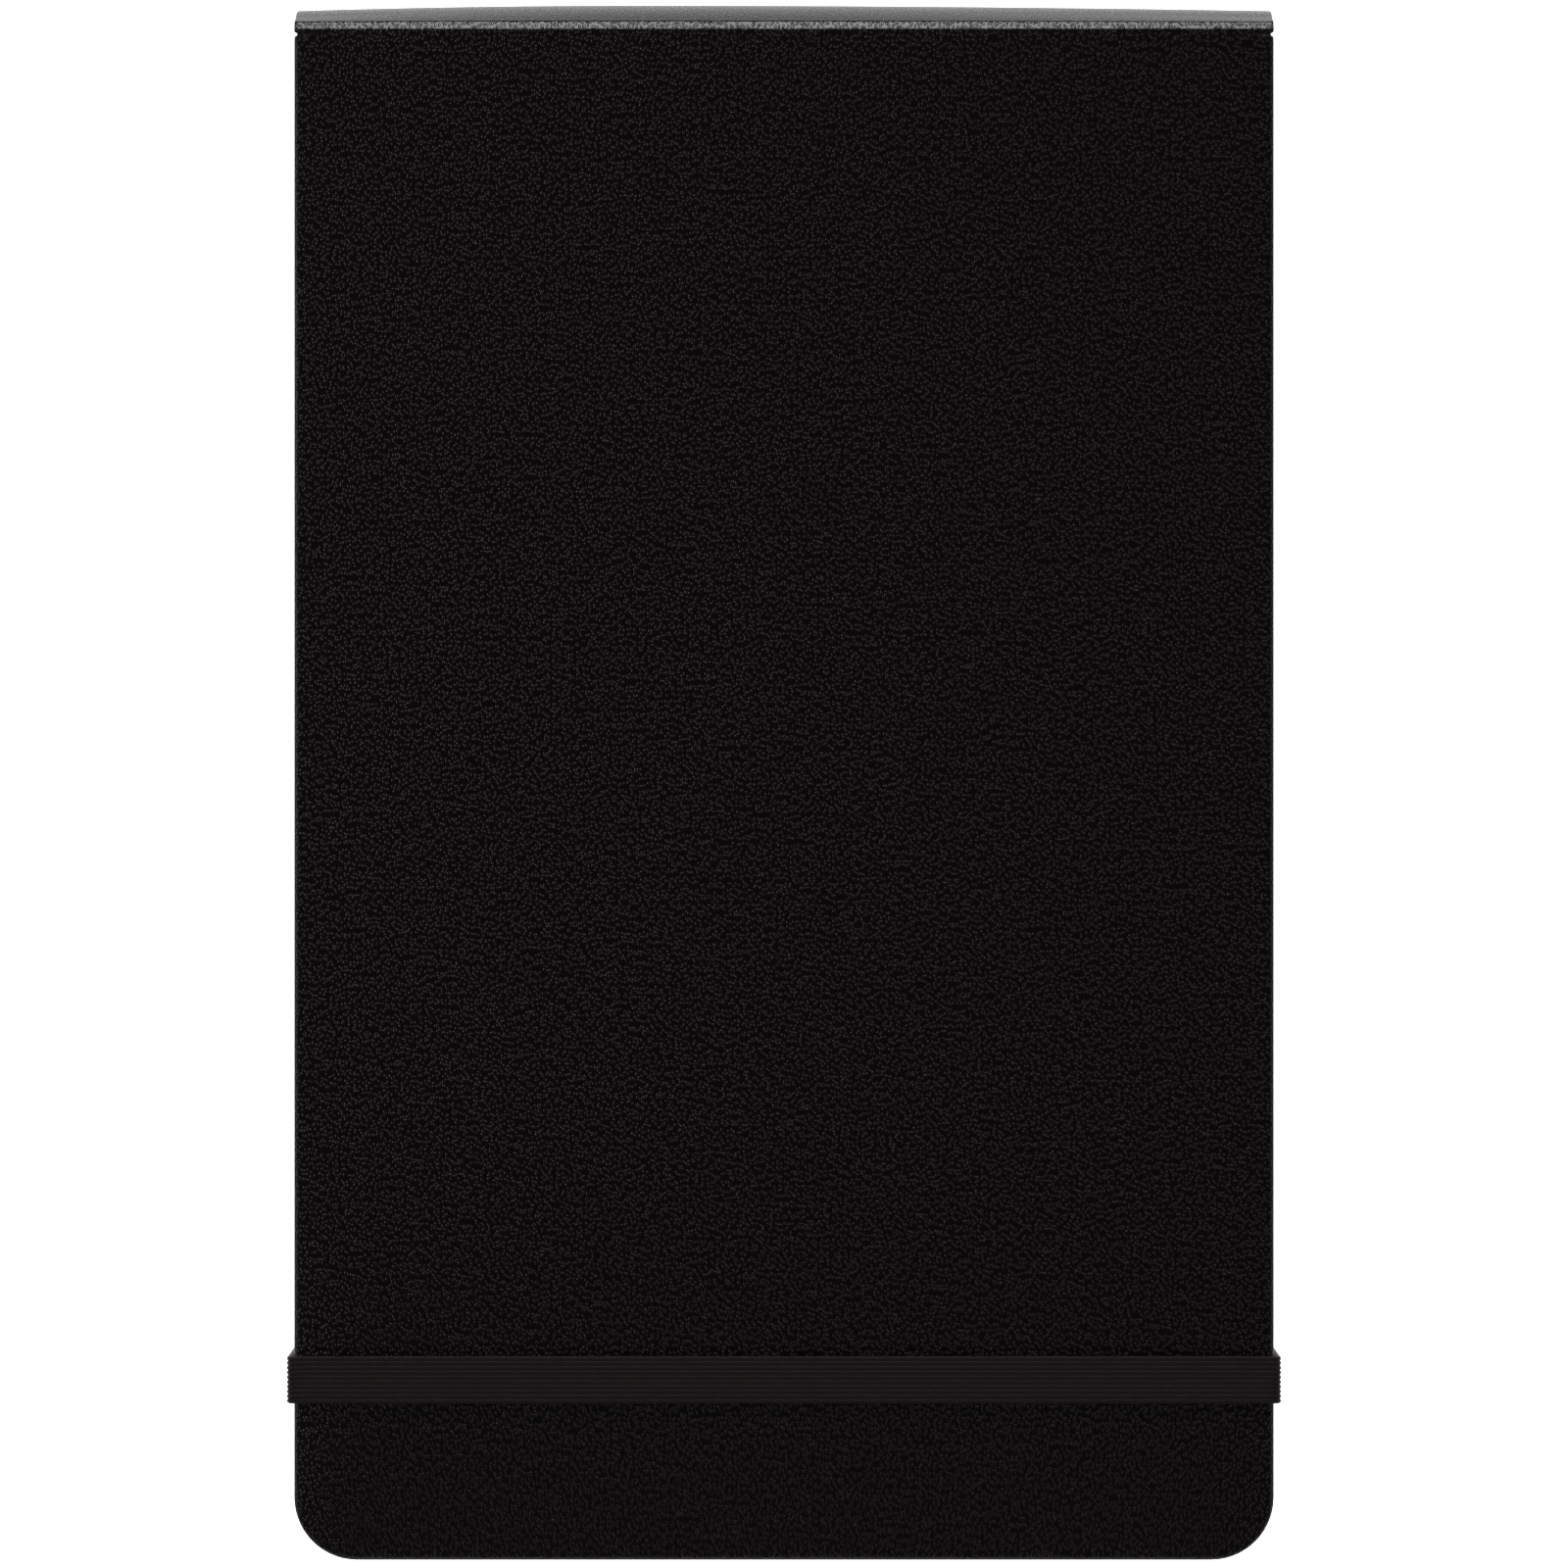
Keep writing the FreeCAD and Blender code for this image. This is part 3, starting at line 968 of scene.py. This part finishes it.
    def _depth_share(self, s: float) -> float:
        """How deep the wrapped edge is at s, as a share of its depth round the board.

        Args:
            s: distance past the board's head edge.

        Returns:
            A share of the board depth.
        """
        s = min(s, 2.0 * self.curve.length - s)
        at_joint = smooth_step(-0.25, 0.15, s)
        at_spine = smooth_step(self.curve.spine_start + 0.8, self.curve.spine_start + 2.2, s)
        joint = self.board_depth + (self.joint_depth - self.board_depth) * at_joint
        return (joint + (self.spine_depth - self.joint_depth) * at_spine) / self.board_depth

    def _fold(self, bm: BMesh) -> None:
        """Fold the flat pattern and keep its flat places as the grain's map.

        Args:
            bm: the flat pattern, with its margins.
        """
        pattern = bm.loops.layers.uv.new("pattern_mm")
        for face in bm.faces:
            for loop in face.loops:
                loop[pattern].uv = (loop.vert.co.x, loop.vert.co.y)
        head = self.layout.head_y
        for vert in bm.verts:
            x, y, depth = self._folded(vert.co.x, vert.co.y)
            x = self._squared(x, y - head)
            vert.co = self.curve.place(x, y - head, depth * self._depth_share(y - head))
        outside = self.curve.place(0.0, -head, 0.0)
        middle = min(bm.faces, key=lambda face: (face.calc_center_median() - outside).length)
        middle.normal_update()
        if middle.normal.z * self.side.value < 0.0:
            bmesh.ops.reverse_faces(bm, faces=bm.faces)

    def _squared(self, x: float, s: float) -> float:
        """Pull the wrapped edge out to a tight corner at the ends of the spine.

        Args:
            x: place across the width.
            s: distance past the board's head edge.

        Returns:
            The new place across the width.
        """
        at_spine = smooth_step(self.curve.flat, self.curve.spine_start, min(s, 2.0 * self.curve.length - s))
        inset = self.layout.half_width - abs(x)
        pull = min(max(inset, 0.0), self.edge_radius) * self.spine_end_squareness
        fade = 1.0 - smooth_step(self.edge_radius, 3.0, inset)
        return x + math.copysign(pull * fade * at_spine, x)


@dataclass
class SpineStrip:
    """Stiff card inside the spine, bent to the spine's curve."""

    layout: Layout
    material: Material
    covering: float = 0.25
    thickness: float = 0.5
    start: float = 2.35

    def build(self) -> Object:
        """Bend a card blank to the curve.

        Returns:
            The finished piece.
        """
        curve = SpineCurve(self.layout, Side.FRONT)
        half = self.layout.half_width - self.covering
        low = curve.spine_start + self.start
        full = 2.0 * curve.length - low
        bm = bmesh.new()
        bmesh.ops.create_cube(bm, size=1.0)
        bmesh.ops.scale(bm, vec=(2.0 * half, full - low, self.thickness), verts=bm.verts)
        bmesh.ops.translate(bm, vec=(0, 0.5 * (full + low), 0), verts=bm.verts)
        cut_across(bm, steps(low, full, 20)[1:-1], (0, 1, 0))
        cut_across(bm, steps(-40.0, 40.0, WIDTH_CUTS), (1, 0, 0))
        for vert in bm.verts:
            depth = self.covering + 0.5 * self.thickness - vert.co.z
            vert.co = curve.place(vert.co.x, vert.co.y, depth)
        bmesh.ops.recalc_face_normals(bm, faces=bm.faces)
        piece = finish_mesh(bm, "spine_card", self.material)
        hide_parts("spine_strip")
        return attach(piece, "block")


# ---------------------------------------------------------------- the endpapers
@dataclass
class Endpaper:
    """Pastedown, hinge fold and the strip tipped to the block: one sheet of heavy paper."""

    layout: Layout
    side: Side
    material: Material
    thickness: float = 0.15
    corner_radius: float = 4.1
    fold_bulge: float = 0.35
    side_room: float = 0.4
    tip: float = 4.0
    fold_segments: int = 10

    def build(self) -> Object:
        """Fold the sheet between the cover and the block.

        Returns:
            The finished piece.
        """
        pastedown_low, pastedown_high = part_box(f"{self.side.label}_pastedown")
        flyleaf_low, flyleaf_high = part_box(f"{self.side.label}_flyleaf")
        cover_z = 0.5 * (pastedown_low.z + pastedown_high.z) / MM
        block_z = 0.5 * (flyleaf_low.z + flyleaf_high.z) / MM
        radius = 0.5 * abs(cover_z - block_z)
        fold_y = self.layout.page_head_y - 0.1
        half = pastedown_high.x / MM
        tip_half = self.layout.page_half_width
        bm = bmesh.new()
        rows = [(pastedown_low.y / MM, cover_z, half), (fold_y - 6.0, cover_z, half)]
        rows.append((fold_y - 1.0, cover_z, tip_half + self.side_room))
        middle_z = 0.5 * (cover_z + block_z)
        for i in range(self.fold_segments + 1):
            angle = math.pi * i / self.fold_segments
            y = fold_y + min(radius, self.fold_bulge) * math.sin(angle)
            rows.append((y, middle_z + (cover_z - middle_z) * math.cos(angle), tip_half))
        rows.append((fold_y - self.tip, block_z, tip_half))
        first = draw_out(bm, [((-half_x, y, z), (half_x, y, z)) for y, z, half_x in rows])
        round_off(bm, first, self.corner_radius, CORNER_FLATS, "VERTICES")
        name = f"{self.side.label}_endpaper"
        piece = finish_mesh(bm, name, self.material, PAPER_CRISP)
        thicken(piece, self.thickness, 0.0, PAPER_CRISP)
        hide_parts(f"{self.side.label}_pastedown")
        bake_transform(piece)
        return piece


# ---------------------------------------------------------------- the paper block
@dataclass
class Leaf:
    """One sheet of paper with rounded bottom corners, its mesh cut finer near the bound edge when a curl is
    given.
    """

    layout: Layout
    name: str
    node: str
    material: Material
    slot: str
    body: str
    curl: tuple[float, float] | None = None
    corner_radius: float = 4.2
    head_trim: float = 0.0

    def build(self) -> Object:
        """Cut the sheet; a sheet given no curl is joined to its body.

        Returns:
            The finished piece.
        """
        low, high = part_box(self.node)
        head = self.layout.page_head_y - self.head_trim
        bm = bmesh.new()
        self._blank(bm, low / MM, high / MM, head)
        if self.curl:
            cut_across(bm, steps(head - self.curl[0] - 2.0, head - self.curl[1], 16), (0, 1, 0))
        bmesh.ops.recalc_face_normals(bm, faces=bm.faces)
        map_pages(bm)
        piece = finish_mesh(bm, self.name, self.material, PAPER_CRISP)
        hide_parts(self.node)
        if not self.curl:
            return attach(piece, self.body)
        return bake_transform(piece)

    def _blank(self, bm: BMesh, low: Vector, high: Vector, head: float) -> None:
        """A flat sheet with its bottom corners rounded.

        Args:
            bm: the mesh to fill.
            low: the CAD sheet's lowest corner.
            high: the CAD sheet's highest corner.
            head: where the sheet ends at the bound side.
        """
        corners = ((low.x, low.y), (high.x, low.y), (high.x, head), (low.x, head))
        verts = [bm.verts.new((x, y, low.z)) for x, y in corners]
        bm.faces.new(verts)
        round_off(bm, verts[:2], self.corner_radius, CORNER_FLATS, "VERTICES")
        grown = bmesh.ops.extrude_face_region(bm, geom=bm.faces[:])["geom"]
        raised = pick(grown, BMVert)
        bmesh.ops.translate(bm, vec=(0, 0, high.z - low.z), verts=raised)


@dataclass
class Signature:
    """A sewn gathering: sheets folded once and nested, each one two leaves of the block."""

    layout: Layout
    number: int
    leaves: int
    material: Material
    sheet_share: float = 0.86
    corner_radius: float = 4.2
    fold_segments: int = 8
    trim_wander: float = 0.05

    def build(self) -> Object:
        """Nest the folded sheets.

        Returns:
            The finished piece.
        """
        name = f"signature_{self.number:02d}"
        low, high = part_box(name)
        low_z, high_z = low.z / MM, high.z / MM
        pitch = (high_z - low_z) / self.leaves
        dice = random.Random(self.number)
        bm = bmesh.new()
        for nest in range(self.leaves // 2):
            self._folded_sheet(bm, low_z, high_z, pitch, nest, dice)
        if self.leaves % 2:
            self._single_leaf(bm, 0.5 * (low_z + high_z), pitch)
        map_pages(bm)
        piece = finish_mesh(bm, f"folded_{name}", self.material, FOLD_CRISP)
        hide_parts(name)
        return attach(piece, "block")

    def _folded_sheet(
        self, bm: BMesh, low_z: float, high_z: float, pitch: float, nest: int, dice: random.Random,
    ) -> None:
        """One folded sheet, spun round its fold and drawn out into two leaves.

        Args:
            bm: the mesh to add to.
            low_z: the signature's lower face.
            high_z: the signature's upper face.
            pitch: one leaf's share of the height.
            nest: how many sheets lie outside this one.
            dice: the signature's own random numbers.
        """
        thickness = pitch * self.sheet_share
        middle_z = 0.5 * (low_z + high_z)
        outer = 0.5 * (high_z - low_z) - nest * pitch
        fold_y = self.layout.page_head_y - 0.5 * (high_z - low_z)
        half = self.layout.page_half_width
        z = middle_z - outer + 0.5 * (pitch - thickness)
        ends = [(-half, z), (half, z), (half, z + thickness), (-half, z + thickness)]
        start = [bm.verts.new((x, fold_y, height)) for x, height in ends]
        face = bm.faces.new(start)
        known = set(bm.verts) - set(start)
        spun = bmesh.ops.spin(
            bm, geom=[face], axis=(1, 0, 0), cent=(0, fold_y, middle_z),
            angle=math.pi, steps=self.fold_segments, use_duplicate=False,
        )
        last = pick(spun["geom_last"], BMFace)
        for end in (face, last[0]):
            reach = self.layout.page_bottom_y - fold_y + dice.uniform(0.0, self.trim_wander)
            grown = bmesh.ops.extrude_face_region(bm, geom=[end])["geom"]
            verts = pick(grown, BMVert)
            bmesh.ops.translate(bm, vec=(0, reach, 0), verts=verts)
            if end.is_valid:
                bmesh.ops.delete(bm, geom=[end], context="FACES_ONLY")
            self._round_corners(bm, verts)
        mine = [f for f in bm.faces if all(v not in known for v in f.verts)]
        bmesh.ops.recalc_face_normals(bm, faces=mine)

    def _round_corners(self, bm: BMesh, verts: Sequence[BMVert]) -> None:
        """Round a leaf's two bottom corners.

        Args:
            bm: the mesh that holds the leaf.
            verts: the four points of the leaf's bottom edge face.
        """
        upright = set()
        for vert in verts:
            for edge in vert.link_edges:
                other = edge.other_vert(vert)
                if other in verts and abs(other.co.z - vert.co.z) > 0.5 * abs(other.co.x - vert.co.x):
                    upright.add(edge)
        round_off(bm, list(upright), self.corner_radius, 6, "EDGES")

    def _single_leaf(self, bm: BMesh, middle_z: float, pitch: float) -> None:
        """A single leaf tipped into the middle of the gathering.

        Args:
            bm: the mesh to add to.
            middle_z: the height of its middle.
            pitch: one leaf's share of the height.
        """
        half = self.layout.page_half_width
        thickness = pitch * self.sheet_share
        ends = [(-half, -1.0), (half, -1.0), (half, 1.0), (-half, 1.0)]
        fold_y = self.layout.page_head_y - 1.0
        known = set(bm.verts)
        start = [bm.verts.new((x, fold_y, middle_z + 0.5 * up * thickness)) for x, up in ends]
        face = bm.faces.new(start)
        grown = bmesh.ops.extrude_face_region(bm, geom=[face])["geom"]
        verts = pick(grown, BMVert)
        bmesh.ops.translate(bm, vec=(0, self.layout.page_bottom_y - fold_y, 0), verts=verts)
        self._round_corners(bm, verts)
        mine = [f for f in bm.faces if all(v not in known for v in f.verts)]
        bmesh.ops.recalc_face_normals(bm, faces=mine)


# ---------------------------------------------------------------- the pocket
@dataclass
class PocketGusset:
    """Cloth side of the pocket: a single inward pleat between the two sheets."""

    side: float
    material: Material
    thickness: float = 0.06
    end_gap: float = 0.5
    stiff_end: float = 4.0
    floor_gap: float = 0.03
    roof_gap: float = 0.05

    def build(self) -> Object:
        """Fold the pleat.

        Returns:
            The finished piece.
        """
        word = "left" if self.side < 0.0 else "right"
        low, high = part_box(f"pocket_gusset_{word}")
        panel_low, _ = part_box("pocket_panel")
        low, high = low / MM, high / MM
        outer, inner = (low.x, high.x) if self.side < 0.0 else (high.x, low.x)
        floor_z, roof_z = low.z + self.floor_gap, panel_low.z / MM - self.roof_gap
        rows = []
        for share in steps(0.0, 1.0, 6):
            reach = 1.0 - abs(2.0 * share - 1.0)
            rows.append((outer + (inner - outer) * reach, floor_z + (roof_z - floor_z) * share))
        bm = bmesh.new()
        draw_out(bm, [((x, low.y + self.end_gap, z), (x, high.y, z)) for x, z in rows])
        cut_across(bm, steps(low.y + self.stiff_end, high.y - self.stiff_end, 10), (0, 1, 0))
        piece = finish_mesh(bm, f"pocket_gusset_cloth_{word}", self.material, FOLD_CRISP)
        thicken(piece, self.thickness, 0.0, FOLD_CRISP)
        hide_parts(f"pocket_gusset_{word}")
        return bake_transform(piece)


# ---------------------------------------------------------------- the elastic band
@dataclass
class Ribbon:
    """A ribbed ribbon, drawn out from its end section by straight runs and bends."""

    layout: Layout
    name: str
    material: Material
    thickness: float = 0.6
    ribs: int = 10
    rib_height: float = 0.11
    rib_points: int = 5

    def start(self, x: float, middle_z: float, way: float) -> None:
        """Draw the end section.

        Args:
            x: where the ribbon starts.
            middle_z: the height of its middle.
            way: 1 to run towards +X, -1 towards -X.
        """
        self.bm = bmesh.new()
        self.at_start = True
        self.at = Vector((x, self.layout.band_y, middle_z))
        self.way = Vector((way, 0.0, 0.0))
        outline = []
        for top in (1.0, -1.0):
            for step in range(self.ribs * self.rib_points + 1):
                share = step / (self.ribs * self.rib_points)
                across = (2.0 * share - 1.0) * top
                crown = abs(math.sin(math.pi * share * self.ribs)) ** 0.6
                edge = min(1.0, (1.0 - abs(across)) * self.layout.band_half / 0.12)
                shrink = 0.55 + 0.45 * math.sqrt(max(edge, 0.0))
                height = (0.5 * self.thickness - self.rib_height * (1.0 - crown)) * shrink
                y = self.layout.band_y + across * self.layout.band_half
                outline.append((x, y, middle_z + top * height))
        self.face = self.bm.faces.new([self.bm.verts.new(p) for p in outline])
        self.face.normal_update()

    def run(self, length: float, pieces: int = 1) -> None:
        """Draw the ribbon straight on.

        Args:
            length: how far.
            pieces: how many stretches to divide it into.
        """
        for _ in range(pieces):
            grown = bmesh.ops.extrude_face_region(self.bm, geom=[self.face])["geom"]
            verts = pick(grown, BMVert)
            self._leave(self.face)
            step = self.way * (length / pieces)
            bmesh.ops.translate(self.bm, vec=step, verts=verts)
            self.at += step
            self.face = pick(grown, BMFace)[0]

    def _leave(self, section: BMFace) -> None:
        """Remove a section left inside the ribbon; the first one stays as its end.

        Args:
            section: the section drawn on from.
        """
        if section.is_valid and not self.at_start:
            bmesh.ops.delete(self.bm, geom=[section], context="FACES_ONLY")
        self.at_start = False

    def bend(self, turn: float, middle_radius: float, segments: int = 6) -> None:
        """Bend the ribbon a quarter turn in the XZ plane.

        Args:
            turn: 1 to turn from +X towards +Z, -1 the other way.
            middle_radius: radius of the ribbon's middle.
            segments: how many steps the bend has.
        """
        side = Vector((-self.way.z, 0.0, self.way.x)) * turn
        centre = self.at + side * middle_radius
        face = self.face
        spun = bmesh.ops.spin(
            self.bm, geom=[face], axis=(0, -1, 0), cent=centre,
            angle=turn * 0.5 * math.pi, steps=segments, use_duplicate=False,
        )
        self._leave(face)
        self.face = pick(spun["geom_last"], BMFace)[0]
        self.at = centre + self.way * middle_radius
        self.way = side

    def finish(self) -> Object:
        """Close and finish the ribbon.

        Returns:
            The finished piece.
        """
        bmesh.ops.remove_doubles(self.bm, verts=self.bm.verts, dist=1e-5)
        bmesh.ops.recalc_face_normals(self.bm, faces=self.bm.faces)
        piece = finish_mesh(self.bm, self.name, self.material, 75.0)
        return piece


@dataclass
class ElasticBand:
    """The closure band: two anchored tails, two side legs and the span over the front cover."""

    layout: Layout
    material: Material
    thickness: float = 0.6
    bend_radius: float = 0.4
    slot_inset: float = 6.5
    anchor_length: float = 9.0
    split_z: float = 9.5
    lap: float = 1.05

    def build(self) -> list[Object]:
        """Make all five stretches of the band.

        Returns:
            The finished pieces.
        """
        pieces = [self._span()]
        for way, word in ((-1.0, "left"), (1.0, "right")):
            pieces += [self._tail(way, word), self._corner(way, word), self._leg(way, word)]
        return pieces

    def _seam_x(self) -> float:
        """Where the stretches along the faces meet those round the edge.

        Returns:
            The distance from the middle, in millimetres.
        """
        return self.layout.band_inner_x - self.lap

    def _tail(self, way: float, word: str) -> Object:
        """The end inside the back board, out through the slot and along the back.

        Args:
            way: 1 for the right side, -1 for the left.
            word: the side's name.

        Returns:
            The finished piece.
        """
        slot_x = self.layout.half_width - self.slot_inset
        _, board_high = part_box("back_board")
        anchor_z = board_high.z / MM - 0.5 * self.thickness
        low_z = 0.5 * self.thickness
        ribbon = Ribbon(self.layout, f"elastic_tail_{word}_ribbed", self.material)
        ribbon.start(way * (slot_x - self.anchor_length), anchor_z, way)
        ribbon.run(self.anchor_length - self.bend_radius)
        ribbon.bend(-way, self.bend_radius)
        ribbon.run(anchor_z - low_z - 2.0 * self.bend_radius)
        ribbon.bend(way, self.bend_radius)
        ribbon.run(self._seam_x() - slot_x - self.bend_radius)
        piece = ribbon.finish()
        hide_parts(f"elastic_tail_{word}")
        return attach(piece, "back_cover")

    def _corner(self, way: float, word: str) -> Object:
        """Round the back cover's edge and part of the way up.

        Args:
            way: 1 for the right side, -1 for the left.
            word: the side's name.

        Returns:
            The finished piece.
        """
        low_z = 0.5 * self.thickness
        ribbon = Ribbon(self.layout, f"elastic_corner_{word}_ribbed", self.material)
        ribbon.start(way * self._seam_x(), low_z, way)
        ribbon.run(self.lap + 0.5 * self.thickness - self.bend_radius)
        ribbon.bend(way, self.bend_radius)
        ribbon.run(self.split_z - low_z - self.bend_radius, 18)
        piece = ribbon.finish()
        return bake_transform(piece)

    def _leg(self, way: float, word: str) -> Object:
        """Up the side and round the front cover's edge.

        Args:
            way: 1 for the right side, -1 for the left.
            word: the side's name.

        Returns:
            The finished piece.
        """
        high_z = self.layout.front_face_z + 0.5 * self.thickness
        ribbon = Ribbon(self.layout, f"elastic_leg_{word}_ribbed", self.material)
        x = way * (self.layout.band_inner_x + 0.5 * self.thickness - self.bend_radius)
        ribbon.start(way * self._seam_x(), high_z, way)
        ribbon.run(abs(x) - self._seam_x())
        ribbon.bend(-way, self.bend_radius)
        ribbon.run(high_z - self.bend_radius - self.split_z, 8)
        piece = ribbon.finish()
        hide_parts(f"elastic_leg_{word}")
        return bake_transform(piece)

    def _span(self) -> Object:
        """The straight stretch across the front cover.

        Returns:
            The finished piece.
        """
        high_z = self.layout.front_face_z + 0.5 * self.thickness
        ribbon = Ribbon(self.layout, "elastic_span_ribbed", self.material)
        ribbon.start(-self._seam_x(), high_z, 1.0)
        ribbon.run(2.0 * self._seam_x(), 4)
        piece = ribbon.finish()
        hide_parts("elastic_front_span")
        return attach(piece, "band_span")


# ---------------------------------------------------------------- studio
@dataclass
class Studio:
    """Pale floor, soft lights and the camera straight above the front cover."""

    layout: Layout
    camera_height: float = 1.0
    camera_y: float = 0.011
    aim_rise: float = -0.0003
    frame_width: float = 0.1424
    floor_drop: float = 0.155
    sensor: float = 36.0
    floor_half: float = 6000.0
    floor_tone: float = 0.9
    floor_glow: float = 0.93
    room_light: float = 0.04

    def build(self) -> None:
        """Set the stage."""
        self._floor()
        self._light("top_softbox", (0.0, 0.80, 0.34), 0.26, 6.0)
        self._light("left_softbox", (-0.78, 0.05, 0.50), 0.20, 4.0)
        self._light("right_softbox", (0.85, -0.10, 0.42), 0.45, 2.2)
        self._light("bottom_softbox", (0.0, -0.90, 0.50), 0.30, 3.0)
        world = bpy.data.worlds.new("soft_room")
        bpy.context.scene.world = world
        world.use_nodes = True
        background = world.node_tree.nodes["Background"]
        background.inputs["Color"].default_value = (1.0, 1.0, 1.0, 1.0)
        background.inputs["Strength"].default_value = self.room_light
        bpy.context.scene.view_settings.view_transform = "Standard"
        self._camera()

    def _floor(self) -> None:
        """A wide pale sweep, low enough for the block and its leaves to swing clear of it."""
        bm = bmesh.new()
        bmesh.ops.create_grid(bm, x_segments=4, y_segments=4, size=self.floor_half)
        material = bpy.data.materials.new("paper_sweep_white")
        material.use_nodes = True
        shader = material.node_tree.nodes["Principled BSDF"]
        shader.inputs["Base Color"].default_value = (*(self.floor_tone,) * 3, 1.0)
        shader.inputs["Roughness"].default_value = 0.9
        shader.inputs["Emission Color"].default_value = (1.0, 1.0, 1.0, 1.0)
        shader.inputs["Emission Strength"].default_value = self.floor_glow
        bmesh.ops.translate(bm, vec=(0, 0, -self.floor_drop / MM), verts=bm.verts)
        floor = finish_mesh(bm, "floor", material)

    def _light(self, name: str, place: Point, size: float, power: float) -> None:
        """One square softbox aimed at the notebook.

        Args:
            name: the light's name.
            place: where it hangs, in metres.
            size: its side, in metres.
            power: its power, in watts.
        """
        data = bpy.data.lights.new(name, "AREA")
        data.size = size
        data.energy = power
        lamp = bpy.data.objects.new(name, data)
        lamp.location = place
        lamp.rotation_euler = (-Vector(place)).to_track_quat("-Z", "Y").to_euler()
        bpy.context.scene.collection.objects.link(lamp)

    def _camera(self) -> None:
        """A long lens straight above, its window shifted to centre the notebook."""
        data = bpy.data.cameras.new("camera")
        data.sensor_width = self.sensor
        data.lens = self.sensor * self.camera_height / self.frame_width
        data.shift_y = (self.aim_rise - self.camera_y) / self.frame_width
        camera = bpy.data.objects.new("camera", data)
        camera.location = (0.0, self.camera_y, self.camera_height + self.layout.front_face_z * MM)
        bpy.context.scene.collection.objects.link(camera)
        bpy.context.scene.camera = camera


# ---------------------------------------------------------------- the notebook
def dress_cad_nodes(finishes: Finishes) -> None:
    """Give each CAD node that stays its finish.

    Args:
        finishes: the notebook's finishes.
    """
    dressed = {
        "front_board": finishes.board, "back_board": finishes.board, "front_lining_card": finishes.card,
        "back_lining_card": finishes.card, "pocket_base": finishes.endpaper,
        "pocket_panel": finishes.endpaper, "pocket_hem": finishes.pocket_cloth,
        "sewing_thread": finishes.thread, "spine_mull": finishes.mull, "spine_kraft_liner": finishes.kraft,
    }
    for name, material in dressed.items():
        node = frame["nodes"][name]
        node.data.materials.clear()
        node.data.materials.append(material)
        LOG.info("dressed %s", name)


def build_leaves(layout: Layout, finishes: Finishes) -> list[Object]:
    """Make the flyleaves, the turning leaves and the signatures.

    Args:
        layout: places from the frame.
        finishes: the notebook's finishes.

    Returns:
        The finished pieces.
    """
    pieces = [
        Leaf(
            layout, "front_flyleaf_sheet", "front_flyleaf", finishes.endpaper, "endpaper",
            "front_flyleaf", curl=(9.0, 0.0), head_trim=4.1,
        ).build(),
        Leaf(
            layout, "back_flyleaf_sheet", "back_flyleaf", finishes.endpaper, "endpaper",
            "block", head_trim=4.1,
        ).build(),
    ]
    for number in (1, 2, 3):
        node = f"turning_leaf_{number}"
        leaf = Leaf(layout, f"{node}_sheet", node, finishes.page, "page", node, curl=(12.0, 1.5))
        pieces.append(leaf.build())
    count = sum(1 for name in frame["nodes"] if name.startswith("signature_"))
    for number in range(1, count + 1):
        pieces.append(Signature(layout, number, 5 if number == 1 else 8, finishes.page).build())
    return pieces


def main() -> None:
    """Build the notebook and its stage, and log each piece."""
    logging.basicConfig(level=logging.INFO, format="%(message)s")
    layout = Layout.from_frame()
    finishes = Finishes.build(layout)
    pieces = []
    for side in Side:
        pieces.append(CoverSkin(layout, side, finishes.leatherette).build())
        pieces.append(Endpaper(layout, side, finishes.endpaper).build())
    pieces.append(SpineStrip(layout, finishes.card).build())
    pieces += build_leaves(layout, finishes)
    for way in (-1.0, 1.0):
        pieces.append(PocketGusset(way, finishes.pocket_cloth).build())
    pieces += ElasticBand(layout, finishes.elastic).build()
    dress_cad_nodes(finishes)
    for piece in pieces:
        LOG.info("%s: %d faces", piece.name, len(piece.data.polygons))
    Studio(layout).build()


if __name__ == "__main__":
    main()
